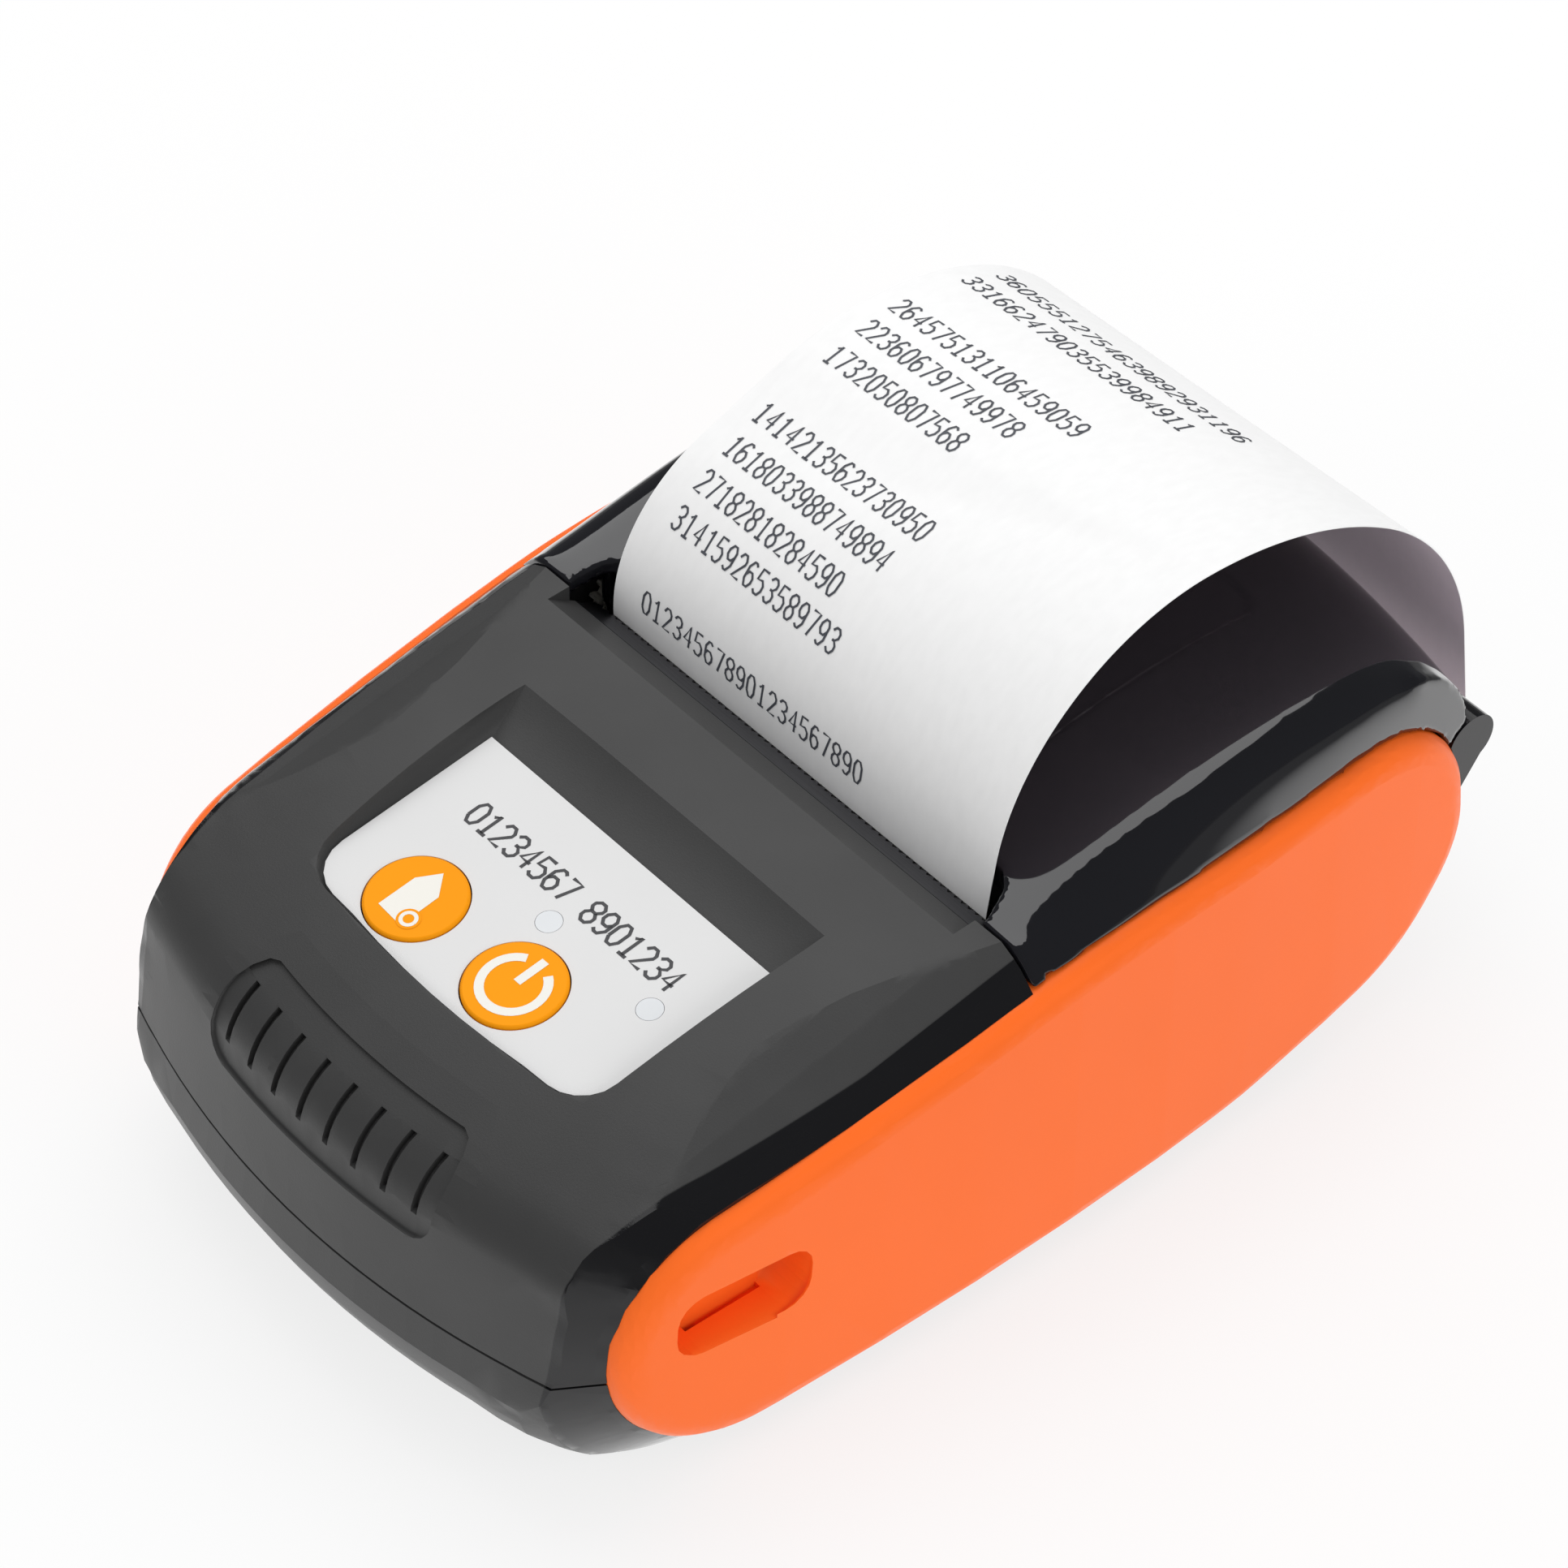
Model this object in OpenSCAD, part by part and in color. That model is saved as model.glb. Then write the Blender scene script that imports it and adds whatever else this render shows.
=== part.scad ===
// Portable receipt printer for 58 mm thermal paper, as separate sub-parts.
// X points to the user's right, Y to the rear hinge, Z up. The rubber feet stand on Z = 0.

/* [Paper] */
// Width of the paper
paper_w = 57.5; // [56:0.5:58]
// Modelled thickness of one layer of paper
paper_t = 0.2; // [0.15:0.05:0.25]
// Diameter of the full paper roll
roll_d = 36; // [30:1:36]
// Outer diameter of the roll's cardboard core
core_d = 17; // [15:1:20]
// Bore of the cardboard core
core_bore = 12.5; // [11:0.5:14]
// Height of the receipt's loop above the tear edge
loop_h = 29; // [26:0.5:31]

/* [Shell] */
// Wall of the dark shells
wall = 1.7; // [1.5:0.1:1.9]
// Distance from the tear edge forward to the nose
nose_len = 66.3; // [65:0.5:70]
// Distance from the full roll back to the rear face
tail_len = 13; // [12.5:0.5:15]
// Height of the shells at the crest in front of the tear edge
crest_h = 43.9; // [43.6:0.1:45]
// Height of the seam between the shells
seam_h = 18.4; // [17.6:0.2:19]
// Radius of the nose seen from above
nose_plan_r = 109; // [104:1:116]
// Radius of the rear face seen from above
rear_plan_r = 150; // [140:1:170]
// Radius where the top runs into the nose
nose_r = 8; // [6:0.5:10]
// Radius under the nose
chin_r = 14; // [12:0.5:15]
// Radius under the tail
tail_r = 36; // [35.5:0.5:37]
// Gap between two shells where they meet
seam_gap = 0.3; // [0.2:0.05:0.4]
// Height of the rubber feet below the shell
foot_h = 1.2; // [0.8:0.1:1.4]
// Diameter of a rubber foot
foot_d = 8; // [6:0.5:9]

/* [Side panels] */
// Radius of the bowed sides seen from above
barrel_r = 476; // [440:4:560]
// How far the shells' rim stands out round a panel
rim_rise = 2; // [1.6:0.1:2.4]
// Radius round the edge of an orange panel
panel_round = 2.5; // [2:0.1:3]
// Wall of a panel
panel_wall = 2; // [1.6:0.1:2.4]
// Length of the port slot in the right panel
slot_len = 16; // [14:0.5:18]
// Height of the port slot
slot_h = 8; // [7:0.2:9]

/* [Lid] */
// Wall of the glossy lid
lid_wall = 1.8; // [1.6:0.1:2.1]
// Height of the lid at its crest
lid_h = 50; // [49.8:0.1:51]
// Radius of the lid's arch seen from the side
arch_r = 96.6; // [92:1:104]
// How far the arch sinks from its middle to the lid's shoulders
lid_crown = 0.6; // [0.4:0.1:1]
// Radius where the lid runs into its rear face
lid_rear_r = 17; // [15:0.5:19]
// Height of the hinge axis
hinge_h = 29.3; // [29.1:0.1:29.8]
// Diameter of the hinge pin
hinge_pin_d = 2; // [1.6:0.1:2.4]
// Radius of a hinge knuckle
knuckle_r = 3.2; // [3:0.1:3.4]

/* [Controls] */
// Diameter of a round key
key_d = 10.9; // [10:0.1:11.4]
// Travel of a key
key_travel = 0.4; // [0.3:0.05:0.5]
// Height of a key above the label
key_rise = 0.3; // [0.1:0.05:0.5]
// Distance between the two keys
key_pitch = 15.5; // [14:0.1:16]
// Width of the white control label
label_w = 43.2; // [42:0.2:44]
// Length of the label at its middle
label_len = 25.4; // [24:0.2:26]
// Thickness of the label
label_t = 0.6; // [0.4:0.1:0.8]
// Slope of the label in degrees
label_slope = 6; // [5.5:0.1:6.5]

/* [Print mechanism] */
// Radius of the rubber platen
platen_r = 5; // [4.8:0.1:5.1]
// Radius of the platen's steel shaft
shaft_r = 2; // [1.6:0.1:2.2]
// Outer radius of a platen bush
bush_r = 3; // [2.8:0.1:3.2]
// Depth of the platen's axis below the tear edge
platen_drop = 6.9; // [6.7:0.1:7.2]
// Gear module
gear_m = 0.5; // [0.48:0.01:0.51]
// Teeth on the platen gear
platen_teeth = 22; // [21:1:23]
// Teeth on the idler
idler_teeth = 26; // [25:1:27]
// Teeth on the motor pinion
pinion_teeth = 10; // [9:1:11]
// Face width of the gears
gear_w = 1.6; // [1.2:0.1:1.7]
// Play between two teeth in mesh
backlash = 0.12; // [0.08:0.01:0.16]
// Radius of the motor's case
motor_r = 7.5; // [6.5:0.25:7.75]
// Running clearance round shafts and pins
run_fit = 0.05; // [0.03:0.01:0.08]
// Free air between pieces that pass each other
air = 0.3; // [0.25:0.05:0.35]

/* [Hidden] */
$fn = 32;

// Colours of the materials.
dark = [0.27, 0.27, 0.27];
gloss = [0.12, 0.12, 0.13];
orange = [1.0, 0.42, 0.12];
amber = [1.0, 0.65, 0.12];
white = [0.93, 0.93, 0.92];
steel = [0.72, 0.73, 0.75];
alloy = [0.80, 0.81, 0.82];
rubber = [0.09, 0.09, 0.10];
board_green = [0.08, 0.33, 0.18];
card = [0.70, 0.60, 0.46];
nylon = [0.90, 0.89, 0.84];

// Widths, outward from the roll: bay gap, bay wall, gear chamber, side wall, orange panel.
bay_gap = 0.75;
bay_wall = 1.5;
chamber_w = 5.2;
bay_x = paper_w / 2 + bay_gap;
chamber_x = bay_x + bay_wall;
inner_x = chamber_x + chamber_w;
shell_x = inner_x + wall;
rim_x = shell_x + rim_rise;
// A panel's round starts level with the rim and turns through this angle to the panel's face.
round_a = 80;
body_x = rim_x + panel_round * (1 - cos(round_a));

// Stations along the length, set out from the tear edge.
tear_y = -1;
tear_h = 39.4;
nose_y = tear_y - nose_len;
base_h = foot_h;
front_seam_y = tear_y - 3.6;
ramp_slope = 34;
ramp_x = paper_w / 2 + 2.5;
platen_h = tear_h - platen_drop;
platen_c = [tear_y + 7.4, platen_h];
// The roll lies behind the platen and below it.
roll_gap = 4.1;
roll_drop = 6.9;
roll_r = roll_d / 2;
roll_c = [platen_c.x + platen_r + roll_gap + roll_r, platen_h - roll_drop];
rear_y = roll_c.x + roll_r + tail_len;
hinge_y = rear_y - 3.6;

eps = 0.01;

function unit(v) = v / norm(v);
function polar(r, a) = [r * cos(a), r * sin(a)];
function arc(c, r, a0, a1, n) = [for (i = [0:n]) c + polar(r, a0 + (a1 - a0) * i / n)];
// Points of a fillet of radius r at corner b of the path a, b, c, or of a first share of it.
function fillet(a, b, c, r, n, share = 1) =
    let (u = unit(a - b), v = unit(c - b), half = acos(u * v) / 2,
        mid = b + unit(u + v) * r / sin(half),
        s = b + u * r / tan(half) - mid, e = b + v * r / tan(half) - mid,
        a0 = atan2(s.y, s.x), turn = atan2(s.x * e.y - s.y * e.x, s * e))
    r < eps ? [b] : arc(mid, r, a0, a0 + turn * share, n);
// Closed outline through the corners p, rounded by the radii r.
function rounded(p, r, n = 6) =
    let (k = len(p))
    [for (i = [0:k - 1]) each fillet(p[(i + k - 1) % k], p[i], p[(i + 1) % k], r[i], n)];
function box2(w, h) = [[-w / 2, -h / 2], [w / 2, -h / 2], [w / 2, h / 2], [-w / 2, h / 2]];
// Band of width w along the open path p.
function side_dirs(p) = [for (i = [0:len(p) - 1])
    let (d = unit(p[min(i + 1, len(p) - 1)] - p[max(i - 1, 0)])) [-d.y, d.x]];
function band(p, w) = let (s = side_dirs(p))
    concat([for (i = [0:len(p) - 1]) p[i] + s[i] * w / 2],
        [for (i = [len(p) - 1:-1:0]) p[i] - s[i] * w / 2]);

// Children drawn in (Y, Z) become a bar along X from x0 to x1.
module along_x(x0, x1) {
    translate([x0, 0, 0]) rotate([90, 0, 90]) linear_extrude(x1 - x0) children();
}

// The same bar, centred on X = 0.
module across(x) {
    along_x(-x, x) children();
}

module rod_x(c, r, x0, x1) {
    translate([x0, c.x, c.y]) rotate([0, 90, 0]) cylinder(r = r, h = x1 - x0);
}

module both_sides() {
    children();
    mirror([1, 0, 0]) children();
}

module slab(y0, y1, z0, z1, x = body_x + 5) {
    translate([-x, y0, z0]) cube([2 * x, y1 - y0, z1 - z0]);
}

// Outline of a side panel in (Y, Z).
panel_y0 = nose_y + 10.4;
panel_y1 = rear_y - 4.9;
panel_z0 = base_h + 2;
panel_z1 = crest_h - 10.7;
panel_z2 = crest_h - 2.3;
panel_gap = 0.05;
function panel_outline() = rounded([[panel_y0 + 1, panel_z0 - 0.2], [panel_y0 + 25, panel_z0],
    [panel_y1 - 35.8, panel_z0 + 0.1], [panel_y1 - 9.9, panel_z0 + 3.5], [panel_y1, panel_z0 + 14.8],
    [panel_y1 - 2.3, panel_z2 - 1.8], [tear_y + 6.4, panel_z2], [panel_y0, panel_z1]],
    [16.5, 60, 100, 20, 13, 17, 150, 15], 5);

module panel_shape(inset) {
    offset(delta = -inset) polygon(panel_outline());
}

// The sides bow out about barrel_y: half-width x there, and less towards both ends.
barrel_y = tear_y + 1;
function bowed(x, y) = x - barrel_r + sqrt(barrel_r * barrel_r - pow(y - barrel_y, 2));

module barrel(x, facets = 480) {
    intersection_for (s = [-1, 1])
        translate([s * (barrel_r - x), barrel_y, -20]) cylinder(r = barrel_r, h = 120, $fn = facets);
}

// The nose and the top turn about an upright axis, and so does the tail about another.
top_arc_r = 106.8;
nose_lean = 15;
chin_lean = 5;
nose_axis_y = nose_y + nose_plan_r;
crest_back = 49;
crest_c = [nose_plan_r - crest_back, crest_h - top_arc_r];
nose_mark = [nose_plan_r, seam_h];
nose_in = [-cos(nose_lean), -sin(nose_lean)];
nose_up = [-sin(nose_lean), cos(nose_lean)];
// The round's centre lies nose_r inside the leaning face and the arch.
nose_rel = nose_mark + nose_r * nose_in - crest_c;
nose_b = nose_rel * nose_up;
nose_step = sqrt(nose_b * nose_b - nose_rel * nose_rel + pow(top_arc_r - nose_r, 2)) - nose_b;
nose_c = nose_mark + nose_r * nose_in + nose_up * nose_step;
top_join = atan2(nose_c.y - crest_c.y, nose_c.x - crest_c.x);

function nose_profile(d) =
    let (mark = nose_mark + nose_in * d, low = base_h + d,
        toe = [nose_plan_r - d - (seam_h - base_h) * tan(chin_lean), low])
    concat([[0, low]], fillet([0, low], toe, mark, chin_r - d, 7),
        arc(nose_c, nose_r - d, nose_lean, top_join, 5),
        arc(crest_c, top_arc_r - d, top_join + 1, 90, 9), [[0, crest_h - d]]);

module nose_form(d) {
    translate([0, nose_axis_y, 0]) rotate_extrude($fn = 120) polygon(nose_profile(d));
}

tail_axis_y = rear_y - rear_plan_r;
function tail_profile(d) = concat([[0, base_h + d]],
    arc([rear_plan_r - tail_r, base_h + tail_r], tail_r - d, -90, 0, 12),
    [[rear_plan_r - d, lid_h + 5], [0, lid_h + 5]]);

module tail_form(d) {
    translate([0, tail_axis_y, 0]) rotate_extrude($fn = 120) polygon(tail_profile(d));
}

// A slanting band runs from the floor, the nose and the top out to each panel's rim. Its outline
// moves by band_rise in front and behind, and by one above and below, for each step inward.
band_rise = 1.5;
band_in = 7.3;
core_in = 18;
core_grow = 4;
function band_outline(g) =
    let (s = band_rise * g)
    rounded([[panel_y0 + 5.4 - s, panel_z0 + 2.3 - g], [panel_y0 + 35, panel_z0 + 0.3 - g],
        [panel_y1 - 36.5, panel_z0 - g], [panel_y1 - 12.2 + 0.5 * s, panel_z0 + 5.8 - g],
        [panel_y1 - 6.7 + s, panel_z0 + 14.3 - 0.3 * g], [panel_y1 - 6 + s, panel_z2 - 4 + g],
        [tear_y + 4.7, panel_z2 + 0.4 + g], [panel_y0 + 6.4 - s, panel_z1 - 1.2 + g]],
        [14 + g, 60, 100, 13 + g, 13 + g, 14 + g, 120, 13 + g], 5);

module band_form(d) {
    inset = 1.4 * d;
    hull() {
        across(rim_x - inset) polygon(band_outline(0));
        across(rim_x - inset - band_in) polygon(band_outline(band_in));
        across(rim_x - inset - core_in) polygon(band_outline(band_in + core_grow));
    }
}

// The top falls away to both sides up to a crease, and a little towards the nose.
crown_r = 29;
crown_rise = 4;
crown_slope = 8.5;
crease_x = rim_x - 3.2;
crease_z = crest_h - 0.8;

module crown_form(d) {
    c = [crease_x - sqrt(pow(crown_r, 2) - pow(crown_r - crown_rise, 2)), crown_rise - crown_r];
    translate([0, front_seam_y, crease_z]) rotate([crown_slope, 0, 0]) rotate([90, 0, 0])
        translate([0, 0, -10]) linear_extrude(90)
            polygon(concat(arc(c, crown_r - d, 20, 90, 9), arc([-c.x, c.y], crown_r - d, 90, 160, 9),
                [[-body_x - 10, -60], [body_x + 10, -60]]));
}

module shell_skin(z0, z1, y0, y1) {
    difference() {
        intersection() {
            nose_form(0);
            tail_form(0);
            band_form(0);
            barrel(rim_x);
            slab(y0, y1, z0, z1);
        }
        // Pockets that take the side panels.
        difference() {
            across(body_x + 5) panel_shape(-panel_gap);
            barrel(shell_x);
        }
    }
}

module shell_room(z0, z1, y0, y1) {
    intersection() {
        nose_form(wall);
        tail_form(wall);
        band_form(wall);
        barrel(inner_x);
        slab(y0, y1, z0, z1);
    }
}

slot_y = panel_y0 + 14.9;
slot_z = base_h + 21.5;
slot_tilt = -4;
slot_lip = 1.2;
slot_floor_x = bowed(inner_x, slot_y) + 1.2;

module slot_prism(grow, x0, x1) {
    r = 3 + grow;
    translate([0, slot_y, slot_z]) rotate([slot_tilt, 0, 0]) along_x(x0, x1)
        polygon(rounded(box2(slot_len + 2 * grow, slot_h + 2 * grow), [r, r, r, r], 4));
}

// A bowed cover with a round edge, hollow behind.
module panel_body() {
    difference() {
        hull() for (a = [round_a, 55, 30, 0]) intersection() {
            barrel(body_x - panel_round * (1 - cos(a)), 240);
            along_x(10, body_x) panel_shape(panel_round * (sin(round_a) - sin(a)));
        }
        barrel(shell_x + 0.02);
        intersection() {
            barrel(body_x - panel_wall);
            along_x(10, body_x) panel_shape(panel_wall + 0.6);
        }
    }
}

module side_panel_left() {
    color(orange) mirror([1, 0, 0]) panel_body();
}

module side_panel_right() {
    face_x = bowed(body_x, slot_y);
    color(orange) difference() {
        union() {
            panel_body();
            // Lined pocket round the plug.
            slot_prism(slot_lip, slot_floor_x - 1, face_x - 0.5 * panel_wall);
        }
        slot_prism(0, slot_floor_x, body_x + 1);
        // The lower and the rear lips are flared.
        hull() {
            slot_prism(-0.2, face_x - 1.8, face_x - 1.7);
            translate([0, 0.4, -0.7]) slot_prism(-0.2, face_x + 0.2, face_x + 0.3);
        }
        translate([slot_floor_x - 2, slot_y - port_w / 2 - 0.3, port_z - 0.3])
            cube([3, port_w + 0.6, port_h + 0.6]);
    }
}

// Control area: a sloping floor let into the arched top.
label_y1 = tear_y - 21.9;
label_z1 = crest_h - 2.7;
label_y0 = label_y1 - label_len;
key_y = label_y0 + 6.5;
feed_x = -10.4;
power_x = feed_x + key_pitch;
light_dx = 11.6;
light_dy = 7.6;
light_r = 1.4;
label_gap = 0.2;
recess_run = 6.8;
key_r = key_d / 2;
well_gap = 0.15;
cap_t = 1.1;
stem_r = 2.2;
board_drop = 6.5;
board_t = 1.2;
switch_h = 3.4;
stem_dip = 0.6;
cap_z = label_t + key_rise - cap_t;
button_xs = [feed_x, power_x];
post_xs = [-19, 19];
post_y = key_y + 3;

// Puts children drawn round Z = 0 onto the sloping floor, in line with their own Y.
module on_label() {
    translate([0, label_y1, label_z1 - label_t]) rotate([label_slope, 0, 0])
        translate([0, -label_y1, 0]) children();
}

module label_shape(grow) {
    w = label_w / 2 + grow;
    y0 = label_y0 - grow;
    side_y = y0 + 1.2;
    front = [for (i = [-3:3]) [w * 0.62 * i / 3, y0 + 0.8 * pow(i / 3, 2)]];
    polygon(concat([[-w, label_y1 + grow]], fillet([-w, label_y1], [-w, side_y], front[0], 5, 5), front,
        fillet(front[6], [w, side_y], [w, label_y1], 5, 5), [[w, label_y1 + grow]]));
}

module control_recess() {
    // The walls lean out, and the rear one most, so that light reaches the label.
    hull() {
        on_label() linear_extrude(label_t) label_shape(label_gap);
        translate([0, 0, crest_h + 0.6]) linear_extrude(0.1) {
            label_shape(1.8);
            translate([-label_w / 2 - 1.8, label_y1]) square([label_w + 3.6, recess_run]);
        }
    }
}

// Grip on the nose: a shallow step with upright grooves.
grip_w = 35;
grip_z0 = base_h + 25.8;
grip_z1 = crest_h - 7.2;
grip_step = 0.5;
groove_count = 8;
groove_w = 0.8;
groove_depth = 0.9;

module nose_skin(depth) {
    difference() {
        nose_form(-1);
        nose_form(depth);
    }
}

module grip_cuts() {
    pitch = (grip_w - 5.4) / (groove_count - 1);
    intersection() {
        nose_skin(grip_step);
        translate([0, nose_y + 20, (grip_z0 + grip_z1) / 2]) rotate([90, 0, 0]) linear_extrude(30)
            polygon(rounded(box2(grip_w, grip_z1 - grip_z0), [3, 3, 3, 3], 4));
    }
    intersection() {
        nose_skin(grip_step + groove_depth);
        for (i = [0:groove_count - 1])
            translate([(i - (groove_count - 1) / 2) * pitch, 0, 0])
                slab(nose_y - 1, nose_y + 15, grip_z0 + 2.6, grip_z1 - 1.6, groove_w / 2);
    }
}

// Tear bar: a toothed strip let into the ramp that leads down to the paper.
bar_len = 3.6;
bar_t = 0.6;
bar_x = ramp_x - 0.2;
bar_pitch = 1.03;
bar_tooth = 0.7;

// Frame with its origin at the tear edge and -Y up the ramp.
module on_ramp() {
    translate([0, tear_y, tear_h]) rotate([-ramp_slope, 0, 0]) children();
}

module ramp_cut() {
    // Everything above the ramp and behind the shell's rear edge.
    on_ramp() translate([-ramp_x, -8, 0]) cube([2 * ramp_x, 12, 8]);
    translate([-ramp_x, tear_y - 0.8, tear_h - 8]) cube([2 * ramp_x, 5, 16]);
    // Pocket for the tear bar.
    on_ramp() translate([-ramp_x, -bar_len - 0.1, -bar_t - 0.05]) cube([2 * ramp_x, bar_len + 3, 2]);
}

module tear_bar() {
    count = floor(2 * bar_x / bar_pitch);
    half = count * bar_pitch / 2;
    teeth = [for (i = [0:count]) each [[half - i * bar_pitch, -bar_tooth],
        [half - (i + 0.5) * bar_pitch, 0]]];
    color(steel) on_ramp() translate([0, 0, -bar_t]) linear_extrude(bar_t)
        polygon(concat([[-bar_x, -bar_len], [bar_x, -bar_len], [bar_x, -bar_tooth]],
            [for (i = [0:2 * count]) teeth[i]], [[-bar_x, -bar_tooth]]));
}

// Screws join the shells in front and the bay to the bottom shell behind.
screw_r = 0.85;
screw_head_r = 1.6;
boss_r = 2.1;
fixed_fit = 0.02;
front_screw = [inner_x - 4.2, tear_y - 20];
rear_screw_y = roll_c.x - 5.5;
rear_screw = [(chamber_x + bowed(inner_x, rear_screw_y)) / 2, rear_screw_y];
rear_boss_r = rear_screw.x - chamber_x;
head_seat = 3.4;
rear_seat = head_seat + 4;

module screw_holes(c, z0, z1) {
    both_sides() translate([c.x, c.y, z0]) cylinder(r = screw_r + fixed_fit, h = z1 - z0, $fn = 16);
}

module top_housing() {
    color(dark) difference() {
        union() {
            intersection() {
                shell_skin(seam_h + seam_gap / 2, lid_h, nose_y - 5, tear_y);
                crown_form(0);
                union() {
                    difference() {
                        slab(nose_y - 5, tear_y + 1, seam_h, lid_h);
                        intersection() {
                            shell_room(seam_h - 1, lid_h, nose_y, tear_y + 5);
                            crown_form(wall);
                        }
                    }
                    // Floor and walls of the control area.
                    on_label() translate([-label_w / 2 - wall, label_y0 - 3, -wall])
                        cube([label_w + 2 * wall, label_len + 3 + recess_run + wall, 12]);
                    // Ledge under the tear bar.
                    on_ramp() translate([-ramp_x - wall, -9, -2.2]) cube([2 * ramp_x + 2 * wall, 10, 9]);
                    for (x = post_xs)
                        on_label() translate([x, post_y, -board_drop]) cylinder(r = 1.9, h = board_drop);
                    both_sides() translate([front_screw.x, front_screw.y, seam_h + seam_gap / 2])
                        cylinder(r = boss_r, h = 30);
                }
            }
            for (x = post_xs)
                on_label() translate([x, post_y, -board_drop - board_t]) cylinder(r = 0.85, h = board_t + 1);
        }
        control_recess();
        grip_cuts();
        ramp_cut();
        // The lid's cheeks take over beside the ramp.
        both_sides() translate([ramp_x - eps, front_seam_y - seam_gap / 2, seam_h - 1]) cube([20, 20, 40]);
        on_label() {
            for (x = button_xs) {
                translate([x, key_y, -5]) cylinder(r = stem_r + run_fit, h = 10);
                translate([x, key_y, cap_z - key_travel - 0.1]) cylinder(r = key_r + well_gap, h = 5);
                translate([x + light_dx, key_y + light_dy, -5]) cylinder(r = light_r + run_fit, h = 10, $fn = 20);
            }
        }
        slot_prism(slot_lip + 0.1, slot_floor_x - 5, body_x);
        screw_holes(front_screw, seam_h - 1, seam_h + 9);
        port_clearance();
    }
}

module control_label() {
    color(white) on_label() difference() {
        linear_extrude(label_t) label_shape(0);
        for (x = button_xs) {
            translate([x, key_y, -1]) cylinder(r = key_r + well_gap, h = 3);
            translate([x + light_dx, key_y + light_dy, -1]) cylinder(r = light_r + run_fit, h = 3, $fn = 20);
        }
    }
}

// A key cap with the stem that reaches into its switch.
module key_cap(x) {
    stem_z = switch_h - board_drop - stem_dip;
    color(amber) on_label() translate([x, key_y, 0]) {
        translate([0, 0, cap_z]) cylinder(r = key_r, h = cap_t);
        translate([0, 0, stem_z]) cylinder(r = stem_r, h = cap_z + 0.5 - stem_z);
    }
}

module feed_button() {
    key_cap(feed_x);
}

module power_button() {
    key_cap(power_x);
}

// Two light pipes from the key board up through the label.
module status_lights() {
    color([0.86, 0.87, 0.88]) for (x = button_xs)
        on_label() translate([x + light_dx, key_y + light_dy, -board_drop])
            cylinder(r = light_r, h = board_drop + label_t, $fn = 20);
}

module key_board() {
    y0 = key_y - 5;
    color(board_green) on_label() difference() {
        translate([-21, y0, -board_drop - board_t]) cube([42, light_dy + 9, board_t]);
        for (x = post_xs)
            translate([x, post_y, -board_drop - 2]) cylinder(r = 0.85 + run_fit, h = 3, $fn = 16);
    }
}

module key_switches() {
    color(rubber) for (x = button_xs)
        on_label() translate([x, key_y, -board_drop]) difference() {
            translate([-3.2, -3.2, 0]) cube([6.4, 6.4, switch_h]);
            translate([0, 0, switch_h - stem_dip - key_travel - 0.1]) cylinder(r = stem_r + run_fit, h = 3);
        }
}

// Hinge knuckles: a long one on the lid, a short one at each end on the bay.
lid_knuckle_x = paper_w / 2 - 2;
bay_knuckle_x0 = lid_knuckle_x + air;
bay_knuckle_x1 = bowed(rim_x, hinge_y);
hinge_c = [hinge_y, hinge_h];
swing_r = knuckle_r + 0.8;
deck_z = hinge_h - swing_r;
pin_r = hinge_pin_d / 2;
pin_x = bay_knuckle_x1 - 1;

// Cradle under the roll, and the guide from it up to the platen.
roll_air = 0.6;
cradle_r0 = roll_r + roll_air;
cradle_r1 = cradle_r0 + 1.4;
// The web leaves the roll and meets the platen at points that face web_a.
web_r0 = roll_r + 0.2;
web_r1 = platen_r + 0.4;
web_a = atan2(platen_c.y - roll_c.y, platen_c.x - roll_c.x)
    + acos((web_r0 - web_r1) / norm(platen_c - roll_c));
web_dir = [sin(web_a), -cos(web_a)];
guide_len = 22;

function cradle_outline() = concat([roll_c + polar(cradle_r0, web_a) + web_dir * guide_len],
    arc(roll_c, cradle_r0, web_a, 360, 16), [roll_c + [cradle_r1, 0]],
    [for (i = [16:-1:0]) roll_c + polar(cradle_r1, web_a + (360 - web_a) * i / 16)],
    [roll_c + polar(cradle_r1, web_a) + web_dir * guide_len]);

bay_top = crest_h - 6.2;
function bay_wall_outline() =
    let (foot = roll_c + polar(cradle_r1, web_a), top = bay_top, y0 = platen_c.x + 6.6,
        rise = (foot.x - y0) / -web_dir.x)
    concat([[y0, top], foot + web_dir * rise],
        [for (i = [0:16]) roll_c + polar(cradle_r1, web_a + (360 - web_a) * i / 16)],
        [[roll_c.x + cradle_r1, top]]);

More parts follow.
